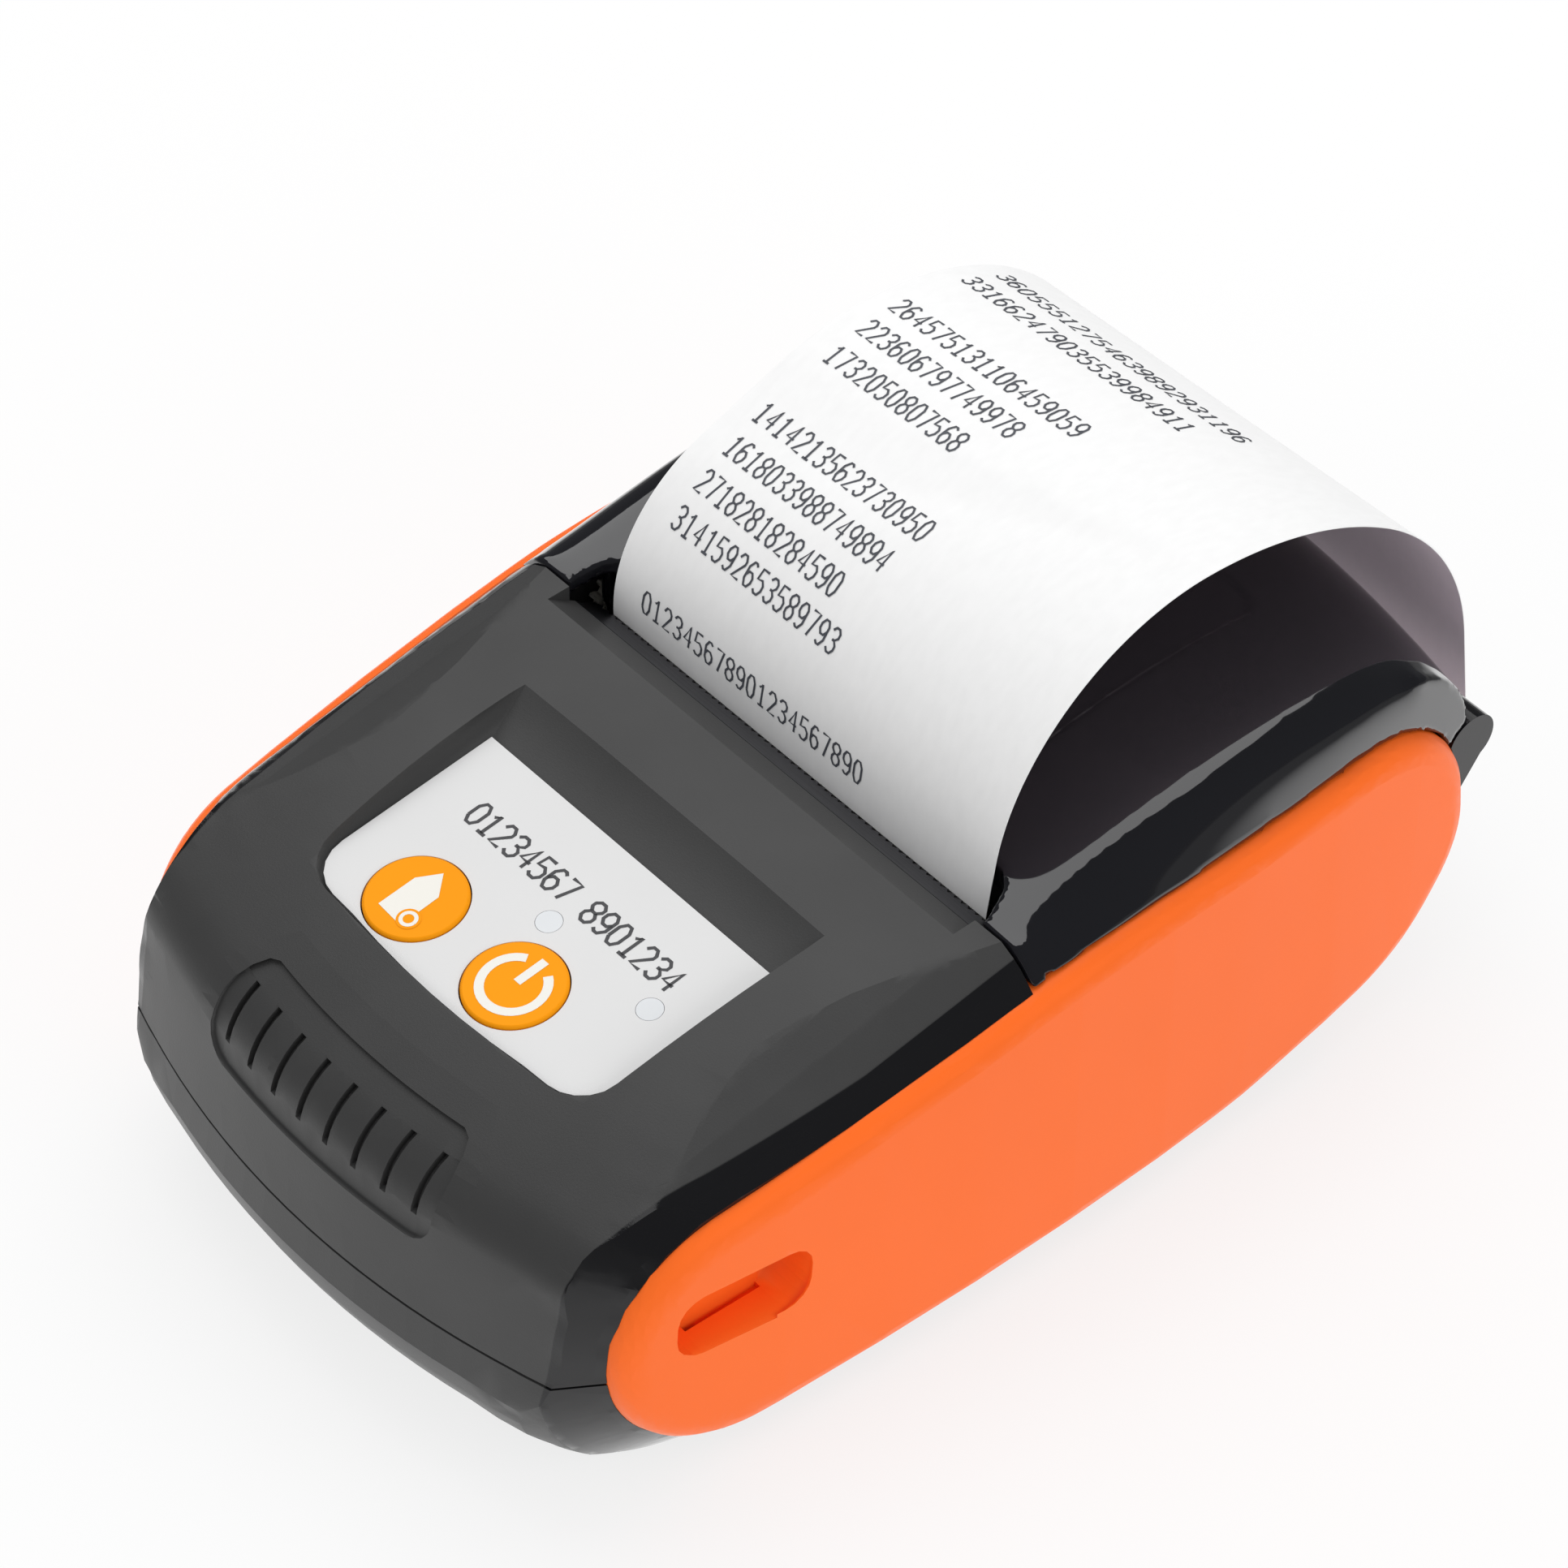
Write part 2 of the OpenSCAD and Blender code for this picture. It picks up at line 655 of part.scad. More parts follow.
module paper_bay() {
    seam_z = seam_h + seam_gap / 2;
    wall_y0 = platen_c.x + 6.6;
    color(dark) difference() {
        union() {
            across(bay_x + eps) polygon(cradle_outline());
            both_sides() {
                along_x(bay_x, chamber_x) polygon(bay_wall_outline());
                // Deck over the gear chamber.
                intersection() {
                    barrel(shell_x);
                    translate([chamber_x - eps, wall_y0, bay_top - 3]) cube([10, roll_r + 20, 1.6]);
                }
                translate([rear_screw.x, rear_screw.y, seam_z]) cylinder(r = rear_boss_r + eps, h = 12);
                // Knuckle on its bracket.
                rod_x(hinge_c, knuckle_r, bay_knuckle_x0, bay_knuckle_x1);
                along_x(bay_knuckle_x0, bay_knuckle_x1) polygon([[hinge_y - knuckle_r, hinge_h],
                    [hinge_y - knuckle_r, deck_z - 4], [rear_y - 6.6, deck_z - 4], [rear_y - 4.6, deck_z - 2.3],
                    [hinge_y + 0.5 * knuckle_r, hinge_h - 0.866 * knuckle_r], [hinge_y, hinge_h]]);
            }
            // Side walls behind the panels.
            difference() {
                intersection() {
                    barrel(shell_x);
                    across(body_x) panel_shape(1.4);
                    slab(front_seam_y + seam_gap / 2, rear_y, seam_z, lid_h);
                }
                barrel(inner_x);
            }
            // Deck behind the roll, and the rear wall below the hinge.
            intersection() {
                shell_skin(seam_z, deck_z, roll_c.x, rear_y);
                union() {
                    slab(roll_c.x + cradle_r0, rear_y, deck_z - 1.5, deck_z);
                    difference() {
                        slab(roll_c.x + cradle_r0, rear_y, seam_z, deck_z);
                        shell_room(seam_z - 1, deck_z, roll_c.x, rear_y);
                    }
                }
            }
        }
        both_sides() rod_x(hinge_c, pin_r + run_fit, bay_knuckle_x0 - 1, pin_x + 0.2);
        // The brackets clear the side panels' rear ends.
        difference() {
            across(body_x) panel_shape(-air);
            barrel(shell_x);
        }
        screw_holes(rear_screw, seam_z - 1, seam_z + 8);
        slab(roll_c.x - 40, roll_c.x + cradle_r0, roll_c.y, lid_h, bay_x - 0.5);
    }
}

module hinge_pin() {
    color(steel) rod_x(hinge_c, pin_r, -pin_x, pin_x);
}

// Lid: an arch about a cross axis and the tail's curve, cut by flanks that run from the rim up to
// the arch. The flanks lean like the band in front and stand steep behind.
arch_c = [roll_c.x - 5.5, lid_h - arch_r];
lid_top_y = rear_y + lid_h;
lid_edge_y = tear_y + 2;
shoulder_x = rim_x - 7;
front_a = 116;
// Steps of a flank: how far in from the rim, below the arch and ahead of the rear, and its fillet.
flank_steps = [[2.5, 2.8, 5.6, 13], [3.3, 1.6, 4.5, 14], [4.7, 0.8, 3.6, 15], [10.9, -0.5, 1, 16]];

// Height above arch_c of a fillet of radius f between an arch of radius r and a rear face at y.
function fillet_h(r, y, f) = sqrt(pow(r - f, 2) - pow(y - f - arch_c.x, 2));
function arch_outline(r, y, f) =
    let (h = fillet_h(r, y, f), join = atan2(h, y - f - arch_c.x))
    concat([[y, 0]], arc([y - f, arch_c.y + h], f, 0, join, 6), arc(arch_c, r, join + 3, front_a, 16),
        [[arch_c.x + r * cos(front_a), 0]]);

module flank_form(d) {
    inset = 0.8 * d;
    hull() {
        across(rim_x - d) polygon(band_outline(-0.6 * d));
        for (s = flank_steps) across(rim_x - s[0] - inset)
            polygon(arch_outline(arch_r - s[1] - inset, rear_y - s[2] - inset, s[3]));
        // Meets the shell's crease at the front seam.
        across(crease_x - inset) translate([front_seam_y - 0.5, crease_z - 1 - 1.2 * d]) square(0.9);
    }
}

module lid_form(d) {
    h = fillet_h(arch_r, rear_y, lid_rear_r);
    join = atan2(h, rear_y - lid_rear_r - arch_c.x);
    intersection() {
        translate([0, arch_c.x, arch_c.y]) rotate([0, 90, 0]) rotate_extrude($fn = 120)
            polygon(concat([[0, -body_x]], [for (i = [-6:6])
                [arch_r - d - lid_crown * pow(i * body_x / 6 / shoulder_x, 2), i * body_x / 6]],
                [[0, body_x]]));
        translate([0, tail_axis_y, 0]) rotate_extrude($fn = 120) polygon(
            concat([[0, 0], [rear_plan_r - d, 0]],
                arc([rear_plan_r - lid_rear_r, arch_c.y + h], lid_rear_r - d, 0, join, 8),
                [[0, lid_top_y]]));
        flank_form(d);
        barrel(rim_x - d - 0.06);
    }
}

ear_x0 = chamber_x + 0.6;
ear_x1 = ear_x0 + 1.2;

module lid() {
    pad_y1 = arch_c.x + 14.5;
    color(gloss) difference() {
        union() {
            difference() {
                intersection() {
                    lid_form(0);
                    slab(front_seam_y + seam_gap / 2, rear_y + 5, hinge_h + 0.3, lid_h + 5);
                }
                lid_form(lid_wall);
                across(body_x + 5) panel_shape(-air);
            }
            // Lip that guides the paper behind the tear edge, and the ears that carry the platen.
            intersection() {
                lid_form(0.5);
                union() {
                    translate([-bay_x - 1, lid_edge_y, platen_h + platen_r + 0.8])
                        cube([2 * bay_x + 2, 1.3, 20]);
                    both_sides() along_x(ear_x0, ear_x1) polygon(concat(
                        arc(platen_c, bush_r + 1.5, 180, 360, 12),
                        [[platen_c.x + 7, platen_h + 8], [platen_c.x + 8, lid_h + 5],
                            [lid_edge_y - 0.5, lid_h + 5], [lid_edge_y - 0.5, platen_h + 6]]));
                }
            }
            rod_x(hinge_c, knuckle_r, -lid_knuckle_x, lid_knuckle_x);
            intersection() {
                lid_form(0);
                across(lid_knuckle_x) polygon([[hinge_y, hinge_h - 0.4], [hinge_y - knuckle_r + 0.6, hinge_h + 1],
                    [hinge_y - 3, hinge_h + 10], [rear_y + 5, hinge_h + 10], [rear_y + 5, hinge_h - 0.4]]);
            }
        }
        rod_x(hinge_c, pin_r + run_fit, -lid_knuckle_x - 1, lid_knuckle_x + 1);
        both_sides() rod_x(hinge_c, swing_r, lid_knuckle_x, body_x);
        both_sides() rod_x(platen_c, bush_r + fixed_fit, ear_x0 - 0.1, ear_x1 + 0.1);
        // The front edge arches back behind the paper.
        translate([0, 0, bay_top - 2]) linear_extrude(30) polygon([[-ramp_x - 0.6, front_seam_y - 5],
            [-ramp_x - 0.6, front_seam_y + 0.8], [-ramp_x + 0.6, lid_edge_y - 1.4],
            [-ramp_x + 2.4, lid_edge_y], [ramp_x - 2.4, lid_edge_y], [ramp_x - 0.6, lid_edge_y - 1.4],
            [ramp_x + 0.6, front_seam_y + 0.8], [ramp_x + 0.6, front_seam_y - 5]]);
        // Shallow field on the crest.
        difference() {
            translate([0, (lid_edge_y + pad_y1) / 2, lid_h - 8]) linear_extrude(12)
                polygon(rounded(box2(42, pad_y1 - lid_edge_y + 3), [3, 3, 3, 3], 4));
            lid_form(0.3);
        }
    }
}

// Frame of the print mechanism: two ears on a folded sheet.
frame_t = 1.2;
ear_in = chamber_x - frame_t + 0.2;
ear_out = ear_in + frame_t;
frame_y0 = tear_y - 11;
frame_y1 = platen_c.x + 5;
frame_z0 = base_h + 6.6;
notch_r = bush_r + 0.25;
head_pivot = [tear_y - 2, platen_h - 4.7];
pivot_r = 1;
idler_d = gear_m * (platen_teeth + idler_teeth) / 2;
pinion_d = gear_m * (idler_teeth + pinion_teeth) / 2;
idler_a = 266;
pinion_a = 200;
idler_c = platen_c + polar(idler_d, idler_a);
pinion_c = idler_c + polar(pinion_d, pinion_a);
post_r = 1.2;
gear_x = inner_x - 0.5;
motor_len = 15;
motor_boss_r = 3;

module mech_frame() {
    color(steel) difference() {
        union() {
            both_sides() along_x(ear_in, ear_out) polygon([[frame_y0, frame_z0], [frame_y1 - 7, frame_z0],
                [frame_y1, frame_z0 + 6], [frame_y1, platen_h + 4], [platen_c.x - 6, platen_h + 4],
                [platen_c.x - 7, platen_h + 3], [frame_y0, platen_h + 1]]);
            across(ear_in + eps) polygon([[frame_y0, frame_z0], [frame_y1 - 8, frame_z0],
                [frame_y1 - 8, frame_z0 + frame_t], [frame_y0 + frame_t, frame_z0 + frame_t],
                [frame_y0 + frame_t, platen_h + 1], [frame_y0, platen_h + 1]]);
            rod_x(idler_c, post_r, -gear_x, -ear_out + eps);
        }
        both_sides() {
            rod_x(platen_c, notch_r, ear_in - 1, ear_out + 1);
            translate([ear_in - 1, platen_c.x - notch_r, platen_h]) cube([frame_t + 2, 2 * notch_r, 10]);
            rod_x(head_pivot, pivot_r + run_fit, ear_in - 1, ear_out + 1);
        }
        rod_x(pinion_c, motor_boss_r + fixed_fit, -ear_out - 1, -ear_in + 1);
    }
}

module platen_shaft() {
    color(steel) rod_x(platen_c, shaft_r, -gear_x, ear_x1 + 0.8);
}

module platen_rubber() {
    color(rubber) difference() {
        rod_x(platen_c, platen_r, -paper_w / 2 - 0.25, paper_w / 2 + 0.25);
        rod_x(platen_c, shaft_r, -paper_w, paper_w);
    }
}

module platen_bushes() {
    color(nylon) both_sides() difference() {
        rod_x(platen_c, bush_r, ear_in - 0.4, ear_x1 + 0.2);
        rod_x(platen_c, shaft_r + run_fit, ear_in - 2, ear_x1 + 2);
    }
}

// Spur gear with two straight steps on each flank, turned by phase.
function flank(r, rb) = r > rb ? sqrt(r * r / (rb * rb) - 1) * 180 / PI - acos(rb / r) : 0;
module gear_shape(z, phase) {
    rp = gear_m * z / 2;
    rb = rp * cos(20);
    half = 90 / z - backlash / (2 * rp) * 180 / PI / 2 + flank(rp, rb);
    radii = [rp - 1.2 * gear_m, max(rp - 0.1 * gear_m, rb), rp + 0.95 * gear_m];
    polygon([for (i = [0:z - 1]) each concat(
        [for (k = [0:2]) polar(radii[k], phase + 360 * i / z - half + flank(radii[k], rb))],
        [for (k = [2:-1:0]) polar(radii[k], phase + 360 * i / z + half - flank(radii[k], rb))])]);
}

module gear(c, z, phase, bore) {
    translate([-gear_x, c.x, c.y]) rotate([90, 0, 90]) linear_extrude(gear_w) difference() {
        gear_shape(z, phase);
        circle(r = bore, $fn = 24);
    }
}

// A tooth of one gear stands in a gap of the next, whatever the angle between their axes.
function mesh_phase(phase, line_a, z0, z1) = line_a + 180 - z0 / z1 * (phase - line_a) + 180 / z1;
idler_phase = mesh_phase(0, idler_a, platen_teeth, idler_teeth);
pinion_phase = mesh_phase(idler_phase, pinion_a, idler_teeth, pinion_teeth);

module platen_gear() {
    color(nylon) gear(platen_c, platen_teeth, 0, shaft_r);
}

module idler_gear() {
    color(nylon) gear(idler_c, idler_teeth, idler_phase, post_r + run_fit);
}

pinion_shaft_r = 0.75;
module motor_pinion() {
    color(steel) {
        gear(pinion_c, pinion_teeth, pinion_phase, pinion_shaft_r);
        rod_x(pinion_c, pinion_shaft_r, -gear_x, -ear_in + 4);
    }
}

module drive_motor() {
    color(alloy) difference() {
        union() {
            rod_x(pinion_c, motor_r, -ear_in + 0.05, -ear_in + motor_len);
            rod_x(pinion_c, motor_boss_r, -ear_out - 0.4, -ear_in + 1);
        }
        rod_x(pinion_c, pinion_shaft_r + run_fit, -ear_out - 1, -ear_in + 4.2);
    }
}

// Print head: a ceramic plate on a finned block that swings on two trunnions.
plate_y = platen_c.x - platen_r - 0.7;
plate_t = 0.8;
head_x = paper_w / 2 - 0.75;
sink_t = 5;

module print_head() {
    color([0.55, 0.50, 0.45]) across(head_x) polygon([[plate_y - plate_t, platen_h - 5.5],
        [plate_y, platen_h - 5.5], [plate_y, platen_h + 2], [plate_y - plate_t, platen_h + 2]]);
}

module heat_sink() {
    y1 = plate_y - plate_t;
    color(alloy) {
        difference() {
            across(head_x) polygon([[y1 - sink_t, platen_h - 5.7], [y1, platen_h - 5.7], [y1, platen_h + 2.4],
                [y1 - sink_t, platen_h + 2.4]]);
            for (i = [0:3]) translate([-head_x - 1, y1 - sink_t - 1, platen_h - 3 + 1.5 * i])
                cube([2 * head_x + 2, 2.6, 0.7]);
        }
        both_sides() rod_x(head_pivot, pivot_r, head_x - 0.5, ear_out + 0.3);
    }
}

// Leaf spring: four bent fingers that press the head against the platen.
module head_spring() {
    y0 = frame_y0 + frame_t;
    y1 = plate_y - plate_t - sink_t;
    path = [[y0 + 0.2, platen_h - 6], [y0 + 0.2, platen_h - 1], [y1 - 0.35, platen_h + 0.2],
        [y1 - 0.9, platen_h + 1.4]];
    color(steel) {
        for (i = [0:3]) translate([-20 + 13.2 * i, 0, 0]) across(1.6) polygon(band(path, 0.3));
        across(22) polygon(band([path[0] - [0, 2], path[0] + [0, 0.5]], 0.3));
    }
}

// Electronics in the front half.
board_z = seam_h - 0.4;
battery_z0 = base_h + wall + 1.2;
battery_h = 11.4;
battery_x = 24;
board_x = front_screw.x - boss_r - 0.6;
board_y0 = nose_y + 12;
board_y1 = frame_y0 - 2;
port_w = 9;
port_h = 3.4;
port_len = 7.5;
port_x = bowed(inner_x, slot_y) - 0.4;
port_z = board_z;

module port_clearance() {
    translate([port_x - port_len - 0.5, slot_y - port_w / 2 - 0.4, board_z - 3])
        cube([port_len + 0.5, port_w + 0.8, port_h + 4.8]);
}

module main_board() {
    color(board_green) translate([0, 0, board_z - 1.6]) linear_extrude(1.6) difference() {
        polygon([[-board_x, board_y0], [board_x - 6, board_y0], [board_x, board_y0 + 6],
            [board_x, slot_y - 7], [port_x - 1, slot_y - 7], [port_x - 1, slot_y + 7],
            [board_x, slot_y + 7], [board_x, board_y1], [-board_x, board_y1]]);
        for (x = [-board_x + 2.5, board_x - 2.5], y = [board_y0 + 9, board_y1 - 3])
            translate([x, y]) circle(r = 1.2 + run_fit, $fn = 16);
    }
}

module board_chips() {
    chips = [[-14, -46, 10, 10, 1.2], [2, -47, 7, 7, 1], [-16, -26, 12, 6, 1.6], [4, -25, 5, 9, 1.4],
        [16, -24, 6, 6, 4], [-24, -34, 4, 8, 2.4], [13, -36, 8, 5, 1]];
    color(rubber) for (c = chips)
        translate([c[0] - c[2] / 2, tear_y + 1 + c[1] - c[3] / 2, board_z]) cube([c[2], c[3], c[4]]);
}

// Socket behind the slot, open to the outside.
module port() {
    z0 = port_z;
    color(steel) difference() {
        translate([port_x - port_len, slot_y - port_w / 2, z0]) cube([port_len, port_w, port_h]);
        translate([port_x - port_len + 1, slot_y - port_w / 2 + 0.4, z0 + 0.4])
            cube([port_len, port_w - 0.8, port_h - 0.8]);
    }
    color(rubber) translate([port_x - port_len + 0.5, slot_y - 3.2, z0 + 1.35]) cube([port_len - 2, 6.4, 0.7]);
}

module battery_pack() {
    y0 = nose_y + 17;
    y1 = frame_y0 - 2.4;
    r = 2.5;
    color([0.16, 0.30, 0.55]) translate([0, (y0 + y1) / 2, battery_z0 + battery_h / 2]) across(battery_x)
        polygon(rounded(box2(y1 - y0, battery_h), [r, r, r, r], 4));
}

module bottom_housing() {
    seam_z = seam_h - seam_gap / 2;
    floor_z = base_h + wall;
    color(dark) difference() {
        union() {
            difference() {
                shell_skin(0, seam_z, nose_y - 5, rear_y + 5);
                shell_room(0, seam_h + 5, nose_y, rear_y);
            }
            intersection() {
                shell_skin(0, seam_z, nose_y - 5, rear_y + 5);
                both_sides() {
                    translate([front_screw.x, front_screw.y, base_h]) cylinder(r = boss_r + 0.7, h = 30);
                    translate([rear_screw.x, rear_screw.y, base_h]) cylinder(r = rear_boss_r, h = 30);
                }
            }
            // Posts for the main board, and stands for the print mechanism.
            both_sides() {
                for (y = [board_y0 + 9, board_y1 - 3]) translate([board_x - 2.5, y, floor_z - 0.5]) {
                    cylinder(r = 2.2, h = board_z - 1.6 - floor_z + 0.5, $fn = 24);
                    cylinder(r = 1.2, h = board_z - floor_z, $fn = 16);
                }
                for (y = [frame_y0 + 3, frame_y0 + 11]) translate([22, y, floor_z - 0.5])
                    cylinder(r = 2.5, h = frame_z0 - floor_z + 0.5, $fn = 24);
            }
            // Fence round the battery.
            for (y = [nose_y + 15.6, frame_y0 - 2]) translate([-14, y, floor_z - 0.5]) cube([28, 1.2, 7]);
        }
        both_sides() {
            for (c = [front_screw, rear_screw]) {
                translate([c.x, c.y, -1]) cylinder(r = screw_r + fixed_fit, h = 40, $fn = 16);
                translate([c.x, c.y, -1]) cylinder(r = screw_head_r + 0.15, h = screw_seat(c) + 1, $fn = 24);
            }
            for (y = foot_ys) translate([foot_x, y, 0]) cylinder(r = foot_d / 2 + 0.1, h = base_h + 0.6);
        }
        port_clearance();
        slot_prism(slot_lip + 0.1, slot_floor_x - 5, body_x);
    }
}

function screw_seat(c) = base_h + (c == front_screw ? head_seat : rear_seat);

module housing_screws() {
    color(steel) both_sides() for (c = [front_screw, rear_screw])
        translate([c.x, c.y, screw_seat(c)]) {
            translate([0, 0, -1.6]) cylinder(r = screw_head_r, h = 1.6, $fn = 24);
            translate([0, 0, -1]) cylinder(r = screw_r, h = seam_h + 7 - screw_seat(c) + 1, $fn = 16);
        }
}

foot_x = 26;
foot_ys = [nose_y + 25.3, tear_y + 23];
module rubber_feet() {
    color(rubber) both_sides() for (y = foot_ys)
        translate([foot_x, y, 0]) cylinder(r = foot_d / 2, h = base_h + 0.6);
}

// Paper: the roll, the web up to the print line, and the receipt that loops back over the lid.
module roll_core() {
    color(card) difference() {
        rod_x(roll_c, core_d / 2, -paper_w / 2, paper_w / 2);
        rod_x(roll_c, core_bore / 2, -paper_w, paper_w);
    }
}

module paper_roll() {
    color(white) difference() {
        rod_x(roll_c, roll_r, -paper_w / 2, paper_w / 2, $fn = 72);
        rod_x(roll_c, core_d / 2, -paper_w, paper_w);
    }
}

module paper_feed() {
    end = [tear_y + 0.1, tear_h];
    path = concat([roll_c + polar(web_r0, web_a)], arc(platen_c, web_r1, web_a, 180, 6),
        [[platen_c.x - web_r1, platen_h + 1.8], end]);
    color(white) across(paper_w / 2) polygon(band(path, paper_t));
}

// The loop is a ruled sheet between two edges in (Y, Z), given by corners and radii. It is twisted:
// the left edge bends back sooner than the right one.
loop_right = [[0.05, 0.3], [4.9, loop_h + 1.9], [42.2, loop_h - 0.9], [65.7, loop_h - 17.2],
    [68.1, loop_h - 38.7]];
loop_left = [[0.05, 0.3], [0.05, loop_h - 15.5], [36.2, loop_h - 2.7], [70.5, loop_h - 19.8],
    [68.2, loop_h - 46.4]];
right_r = [26.5, 46, 34];
left_r = [18, 35, 34];
left_share = 0.82;

function loop_edge(p, r, share) = [for (q = concat([p[0]], fillet(p[0], p[1], p[2], r[0], 8),
    fillet(p[1], p[2], p[3], r[1], 7), fillet(p[2], p[3], p[4], r[2], 7, share))) [tear_y, tear_h] + q];

module receipt() {
    right = loop_edge(loop_right, right_r, 1);
    left = loop_edge(loop_left, left_r, left_share);
    rd = side_dirs(right) * paper_t / 2;
    ld = side_dirs(left) * paper_t / 2;
    n = len(right);
    points = [for (i = [0:n - 1], q = [right[i] + rd[i], right[i] - rd[i]]) [paper_w / 2, q.x, q.y],
        for (i = [0:n - 1], q = [left[i] + ld[i], left[i] - ld[i]]) [-paper_w / 2, q.x, q.y]];
    // Two triangles for each strip of the faces and edges.
    function strip(a, b, c, d) = [[a, b, c], [a, c, d]];
    color(white) polyhedron(points, concat(
        [for (i = [0:n - 2], a = [2 * i], b = [2 * (n + i)]) each concat(strip(a, b, b + 2, a + 2),
            strip(a + 3, b + 3, b + 1, a + 1), strip(a + 2, a + 3, a + 1, a),
            strip(b, b + 1, b + 3, b + 2))],
        strip(0, 1, 2 * n + 1, 2 * n), strip(2 * n - 2, 4 * n - 2, 4 * n - 1, 2 * n - 1)));
}

module paper_sensor() {
    n = polar(1, web_a);
    c = roll_c + n * (web_r0 + 3) + web_dir * 6;
    color(rubber) translate([8, c.x, c.y]) rotate([web_a, 0, 0]) translate([-3, -0.8, -2]) cube([6, 1.6, 4]);
}

top_housing();
bottom_housing();
side_panel_left();
side_panel_right();
paper_bay();
lid();
hinge_pin();
control_label();
feed_button();
power_button();
status_lights();
key_board();
key_switches();
tear_bar();
mech_frame();
platen_shaft();
platen_rubber();
platen_bushes();
platen_gear();
idler_gear();
motor_pinion();
drive_motor();
print_head();
heat_sink();
head_spring();
main_board();
board_chips();
port();
battery_pack();
paper_roll();
roll_core();
paper_feed();
receipt();
paper_sensor();
rubber_feet();
housing_screws();
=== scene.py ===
import math

import bmesh
import bpy
import numpy as np
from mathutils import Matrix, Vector
from mathutils.kdtree import KDTree


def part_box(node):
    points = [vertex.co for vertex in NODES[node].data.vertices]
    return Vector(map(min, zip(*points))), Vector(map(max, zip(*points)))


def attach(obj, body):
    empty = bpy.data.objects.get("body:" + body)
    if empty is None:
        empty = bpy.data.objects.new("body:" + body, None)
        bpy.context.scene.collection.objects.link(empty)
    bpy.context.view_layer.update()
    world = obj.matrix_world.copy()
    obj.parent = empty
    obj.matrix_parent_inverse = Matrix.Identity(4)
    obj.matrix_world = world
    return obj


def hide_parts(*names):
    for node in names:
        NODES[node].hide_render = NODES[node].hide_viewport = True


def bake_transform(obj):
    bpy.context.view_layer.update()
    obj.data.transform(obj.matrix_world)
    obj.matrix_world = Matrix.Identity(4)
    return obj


MM = 0.001
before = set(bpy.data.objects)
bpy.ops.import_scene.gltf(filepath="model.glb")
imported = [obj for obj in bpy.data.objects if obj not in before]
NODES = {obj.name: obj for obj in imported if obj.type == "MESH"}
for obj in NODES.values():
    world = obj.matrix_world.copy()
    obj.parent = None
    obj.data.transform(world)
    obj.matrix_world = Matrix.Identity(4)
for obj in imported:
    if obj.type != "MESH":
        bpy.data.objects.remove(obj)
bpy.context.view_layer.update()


def mm(*values):
    """A point given in millimetres, in metres."""
    return Vector(values) * MM


# Sizes of the frame that the paper and the marks on it follow, in millimetres.
PAPER_W = 57.5
TEAR = (-1.0, 39.4)
PLATEN = (6.4, 32.5)
PLATEN_R = 5.1
ROLL = (33.5, 25.6)
ROLL_R = 18.1
RING_PITCH = 0.35
SHEET_T = 0.09
LABEL_Y1 = -22.9
LABEL_Z1 = 41.2
LABEL_SLOPE = math.radians(6)
KEY_Y = -41.8
KEY_XS = (-10.4, 5.1)
KEY_TOP = 0.9
LABEL_TOP = 0.6

# The crease beside a side panel: its half-width, and how it draws in towards the nose.
CREASE_X = 36.95
CREASE_FRONT_X = 37.75
CREASE_BEND = 0.0014
CREASE_BLUR = 0.1
GLOSS_COLOUR = (0.008, 0.008, 0.009)

# Camera: fitted to the photograph with the receipt's width as the scale.
VIEW_AZIMUTH = math.radians(49.15)
VIEW_ELEVATION = math.radians(45.5)
VIEW_DISTANCE = 659.56 * MM
VIEW_TARGET = mm(-8.3, 4.7, 26.2)
LENS = 145.7


def direction(azimuth, elevation):
    """Unit vector from the object towards an azimuth and elevation, with azimuth 0 in front (-Y)."""
    return Vector((math.sin(azimuth) * math.cos(elevation), -math.cos(azimuth) * math.cos(elevation),
                   math.sin(elevation)))


def aim(obj, target):
    obj.rotation_euler = (target - obj.location).to_track_quat("-Z", "Y").to_euler()


def link(obj):
    bpy.context.scene.collection.objects.link(obj)
    return obj


def add_camera():
    data = bpy.data.cameras.new("camera")
    data.lens = LENS
    data.sensor_width = 36
    data.clip_start = 0.01
    camera = link(bpy.data.objects.new("camera", data))
    camera.location = VIEW_TARGET + direction(VIEW_AZIMUTH, VIEW_ELEVATION) * VIEW_DISTANCE
    aim(camera, VIEW_TARGET)
    bpy.context.scene.camera = camera


def add_area(name, azimuth, elevation, distance, size, power, mirrored=True, target=mm(0, 0, 30)):
    data = bpy.data.lights.new(name, "AREA")
    data.shape = "RECTANGLE"
    data.size = size[0]
    data.size_y = size[1]
    data.energy = power
    lamp = link(bpy.data.objects.new(name, data))
    lamp.location = target + direction(math.radians(azimuth), math.radians(elevation)) * distance
    lamp.visible_glossy = mirrored
    aim(lamp, target)


